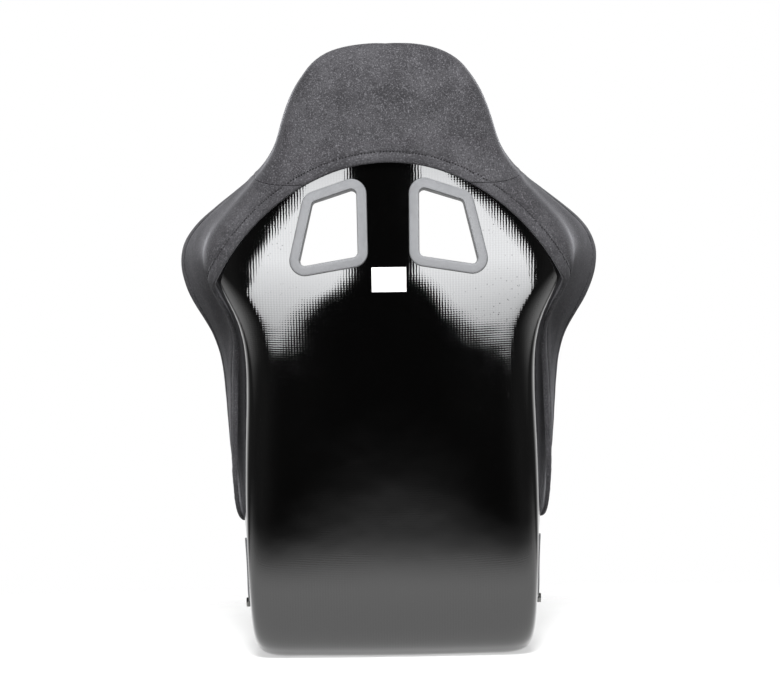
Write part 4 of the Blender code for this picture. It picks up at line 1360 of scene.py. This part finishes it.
def moveMesh(piece, side, x, spot):
    turn = Matrix.Rotation(math.pi if side < 0 else 0.0, 4, "Z")
    piece.data.transform(Matrix.Translation((side * x, *spot)) @ turn)
    return piece


def joinPieces(first, *others):
    mesh = bmesh.new()
    for piece in (first, *others):
        mesh.from_mesh(piece.data)
    mesh.to_mesh(first.data)
    mesh.free()
    for piece in others:
        bpy.data.objects.remove(piece)
    return first


def makeBolt(name):
    part = fastenPiece
    head = hexPiece(name, *part["head"])
    radius, tip, plain = part["thread"] / 2, -part["length"], part["plain"]
    pitch, deep = part["pitch"]
    profile = [(0.0, 0.0003), (radius, 0.0003), (radius, -plain)]
    for number in range(int((part["length"] - plain - 0.001) / pitch)):
        start = -plain - number * pitch
        profile += [(radius - deep, start - pitch * 0.5), (radius, start - pitch * 0.95)]
    profile += [(radius - 0.001, tip), (0.0, tip)]
    shank = finishMesh("shank", turned(profile, 24), finishes["steel"])
    sharpen(shank, 30)
    return joinPieces(head, shank)


def sideMount(side, sideName, end, spot):
    part = fastenPiece
    face, fit = shellPiece["bossFace"], part["fit"]
    inner = face - shellPiece["boss"][0]
    where = end + "_" + sideName
    title = end.title() + sideName.title()
    washerWide, washerThick = part["washer"]
    profile = ringProfile(part["washerHole"] / 2, washerWide / 2, washerThick, 0.0002)
    washer = finishMesh("washer" + title, turned(profile), finishes["steel"])
    sharpen(washer, 30)
    settle(moveMesh(washer, side, face + fit, spot), "zinc_steel", "washer_" + where)
    bolt = moveMesh(makeBolt("bolt" + title), side, face + washerThick + 2 * fit, spot)
    settle(bolt, "zinc_steel", "bolt_" + where)
    thick = part["plate"][0]
    plate = boxPiece("plate" + title, part["plate"], (-thick / 2, 0, 0), 0.0006, finishes["steel"])
    carve(plate, [rodPiece("bore", shellPiece["boltHole"], (-thick / 2, 0, 0), 0.02)])
    sharpen(plate, 30)
    settle(moveMesh(plate, side, inner - fit, spot), "zinc_steel", "backing_plate_" + where)
    nutSize, nutHigh = part["nut"]
    nut = hexPiece("nut" + title, nutSize, nutHigh, part["nutHole"])
    settle(moveMesh(nut, side, inner - 2 * fit - thick - nutHigh, spot), "zinc_steel", "captive_nut_" + where)


for side, sideName in ((1, "left"), (-1, "right")):
    for end, spot in zip(("rear", "front"), shellPiece["boltPlaces"]):
        sideMount(side, sideName, end, spot)
print("side mounts")


studio = {
    "camera": (0.0, 3.05, 0.439),
    "roll": math.radians(-0.87),
    "lens": 95.1,
    "boxes": (  # place, size, power in watts
        ((0.18, 2.6, 2.2), (0.8, 1.2), 160),
        ((-0.18, 2.6, 2.2), (0.8, 1.2), 160),
        ((0.0, -2.8, 1.7), (2.0, 1.6), 190),
    ),
    "cards": (  # outlines of the windows that the gloss sees, as x and z
        (
            (0.103, 0.668), (0.172, 0.664), (0.200, 0.610), (0.219, 0.540), (0.243, 0.469),
            (0.266, 0.386), (0.290, 0.290), (0.352, 0.215), (0.335, 0.178), (0.250, 0.192),
            (0.207, 0.232), (0.168, 0.267), (0.122, 0.300), (0.085, 0.341), (0.090, 0.500),
        ),
        (
            (-0.080, 0.655), (-0.128, 0.655), (-0.179, 0.605), (-0.213, 0.565), (-0.236, 0.517),
            (-0.259, 0.458), (-0.285, 0.401), (-0.318, 0.300), (-0.370, 0.205), (-0.330, 0.178),
            (-0.216, 0.205), (-0.146, 0.246), (-0.095, 0.310), (-0.057, 0.341), (-0.070, 0.500),
        ),
    ),
    "cardPlace": 0.6,
    "cardEdge": 0.012,  # half the width over which the glow fades
    # height on a card, and its glow
    "cardLevels": ((0.17, 2.6), (0.21, 4.6), (0.26, 5.8), (0.38, 7.6), (0.56, 7.6), (0.66, 6.0)),
    "cardTint": (0.975, 0.985, 1.0),
    "fill": 0.32,
    "room": (-0.9, -0.5),  # how far back the bright side of the room starts and ends
    "roomGlow": (0.7, 0.010),  # what the gloss sees on the sitter's side and behind the camera
    "side": (0.12, 0.55),  # how far to the sides the dim glow of the walls starts and ends
    "sideGlow": 0.05,
    "floor": (0.52, 0.52, 0.52),
    "floorCover": 0.70,
    "floorFade": (0.35, 0.84),
    "floorStretch": 2.2,
    "floorDrop": 0.0006,
    "aim": (0, 0.1, 0.45),
}


def makeCamera():
    data = bpy.data.cameras.new("camera")
    data.lens = studio["lens"]
    data.sensor_width = 36
    camera = bpy.data.objects.new("camera", data)
    camera.location = studio["camera"]
    upright = Matrix.Rotation(math.pi, 4, "Z") @ Matrix.Rotation(math.pi / 2, 4, "X")
    camera.rotation_euler = (Matrix.Rotation(studio["roll"], 4, "Y") @ upright).to_euler()
    scene.collection.objects.link(camera)
    scene.camera = camera


def makeSoftBoxes():
    for place, size, power in studio["boxes"]:
        light = bpy.data.lights.new("softBox", "AREA")
        light.shape = "RECTANGLE"
        light.size, light.size_y = size
        light.energy = power
        lamp = bpy.data.objects.new("softBox", light)
        lamp.location = place
        lamp.visible_glossy = False
        light.use_shadow = place[1] > 0
        lamp.rotation_euler = (Vector(studio["aim"]) - Vector(place)).to_track_quat("-Z", "Y").to_euler()
        scene.collection.objects.link(lamp)


def makeCard(outline):  # a glowing window that only the gloss sees
    mesh = bmesh.new()
    share = mesh.verts.layers.float.new("inside")
    face = mesh.faces.new([mesh.verts.new((x, studio["cardPlace"], z)) for x, z in outline])
    edge = studio["cardEdge"]
    first = set(mesh.verts)
    bmesh.ops.inset_region(mesh, faces=[face], thickness=edge, use_boundary=True, use_even_offset=True)
    for vert in mesh.verts:
        vert[share] = 0.5 if vert in first else 1.0
    rim = [item for item in mesh.edges if item.is_boundary]
    grown = bmesh.ops.extrude_edge_only(mesh, edges=rim)["geom"]
    middle = Vector((sum(x for x, _ in outline), 0, sum(z for _, z in outline))) / len(outline)
    for vert in [item for item in grown if isinstance(item, bmesh.types.BMVert)]:
        away = Vector((vert.co.x - middle.x, 0, vert.co.z - middle.z)).normalized()
        vert.co += away * edge
        vert[share] = 0.0
    tree = newMaterial("cardGlow")
    where = tree.add("SeparateXYZ", None, Vector=tree.add("TexCoord").outputs["Object"])
    inside = tree.add("Attribute", {"attribute_name": "inside"}).outputs["Fac"]
    low, high = studio["cardLevels"][0][0], studio["cardLevels"][-1][0]
    top = max(level for _, level in studio["cardLevels"])
    height = tree.math("MULTIPLY_ADD", where.outputs[2], 1 / (high - low), -low / (high - low), clamp=True)
    stops = [((z - low) / (high - low), level / top) for z, level in studio["cardLevels"]]
    level = tree.ramp(height, stops)
    soft = tree.ramp(inside, ((0.0, 0.0), (1.0, 1.0)), True)
    glow = tree.math("MULTIPLY", tree.math("MULTIPLY", level, soft), top)
    light = tree.add("Emission", None, Color=(*studio["cardTint"], 1), Strength=glow)
    tree.links.new(light.outputs[0], tree.nodes["Material Output"].inputs["Surface"])
    piece = finishMesh("glossCard", mesh, tree.owner, False, False)
    piece.visible_camera = piece.visible_diffuse = piece.visible_shadow = False


def makeWorld():  # white to the camera, a soft fill for the rest, and a dim room that only the gloss sees
    scene.world = bpy.data.worlds.new("studio")
    tree = NodeTree(scene.world)
    path = tree.add("LightPath").outputs
    away = tree.add("SeparateXYZ", None, Vector=tree.add("TexCoord").outputs["Generated"]).outputs
    room = tree.ease(away[1], studio["room"], studio["roomGlow"])
    walls = tree.ease(tree.math("ABSOLUTE", away[0]), studio["side"], (0.0, studio["sideGlow"]))
    gloss = tree.math("ADD", room, walls)
    glow = tree.add("Mix", None, in0=path["Is Glossy Ray"], in2=studio["fill"], in3=gloss).outputs[0]
    seen = tree.add("Mix", None, in0=path["Is Camera Ray"], in2=glow, in3=1.0).outputs[0]
    tree.nodes["Background"].inputs["Color"].default_value = (1, 1, 1, 1)
    tree.links.new(seen, tree.nodes["Background"].inputs["Strength"])


def makeFloor():
    near, far = studio["floorFade"]
    mesh = bmesh.new()
    bmesh.ops.create_circle(mesh, cap_ends=True, segments=96, radius=far)
    bmesh.ops.scale(mesh, vec=(studio["floorStretch"], 1, 1), verts=mesh.verts[:])
    bmesh.ops.translate(mesh, vec=(0, 0, -studio["floorDrop"]), verts=mesh.verts[:])
    tree = newMaterial("paleFloor")
    where = tree.add("TexCoord").outputs["Object"]
    shrink = (1 / studio["floorStretch"], 1, 1)
    evened = tree.add("VectorMath", {"operation": "MULTIPLY"}, in0=where, in1=shrink).outputs[0]
    length = tree.add("VectorMath", {"operation": "LENGTH"}, in0=evened).outputs["Value"]
    stops = ((near / far, 1 - studio["floorCover"]), (0.995, 1.0))
    fade = tree.ramp(tree.math("MULTIPLY", length, 1 / far), stops, True)
    grain = tree.bump(tree.noise(where, 300.0), 0.00005)
    tree.set(Base_Color=(*studio["floor"], 1), Roughness=0.9, Normal=grain)
    blend = tree.add("MixShader", None, Fac=fade)
    tree.links.new(tree.shader.outputs[0], blend.inputs[1])
    tree.links.new(tree.add("BsdfTransparent").outputs[0], blend.inputs[2])
    tree.links.new(blend.outputs[0], tree.nodes["Material Output"].inputs["Surface"])
    finishMesh("floor", mesh, tree.owner, False, False)


makeCamera()
makeSoftBoxes()
for card in studio["cards"]:
    makeCard(card)
makeWorld()
makeFloor()
scene.view_settings.view_transform = "Standard"
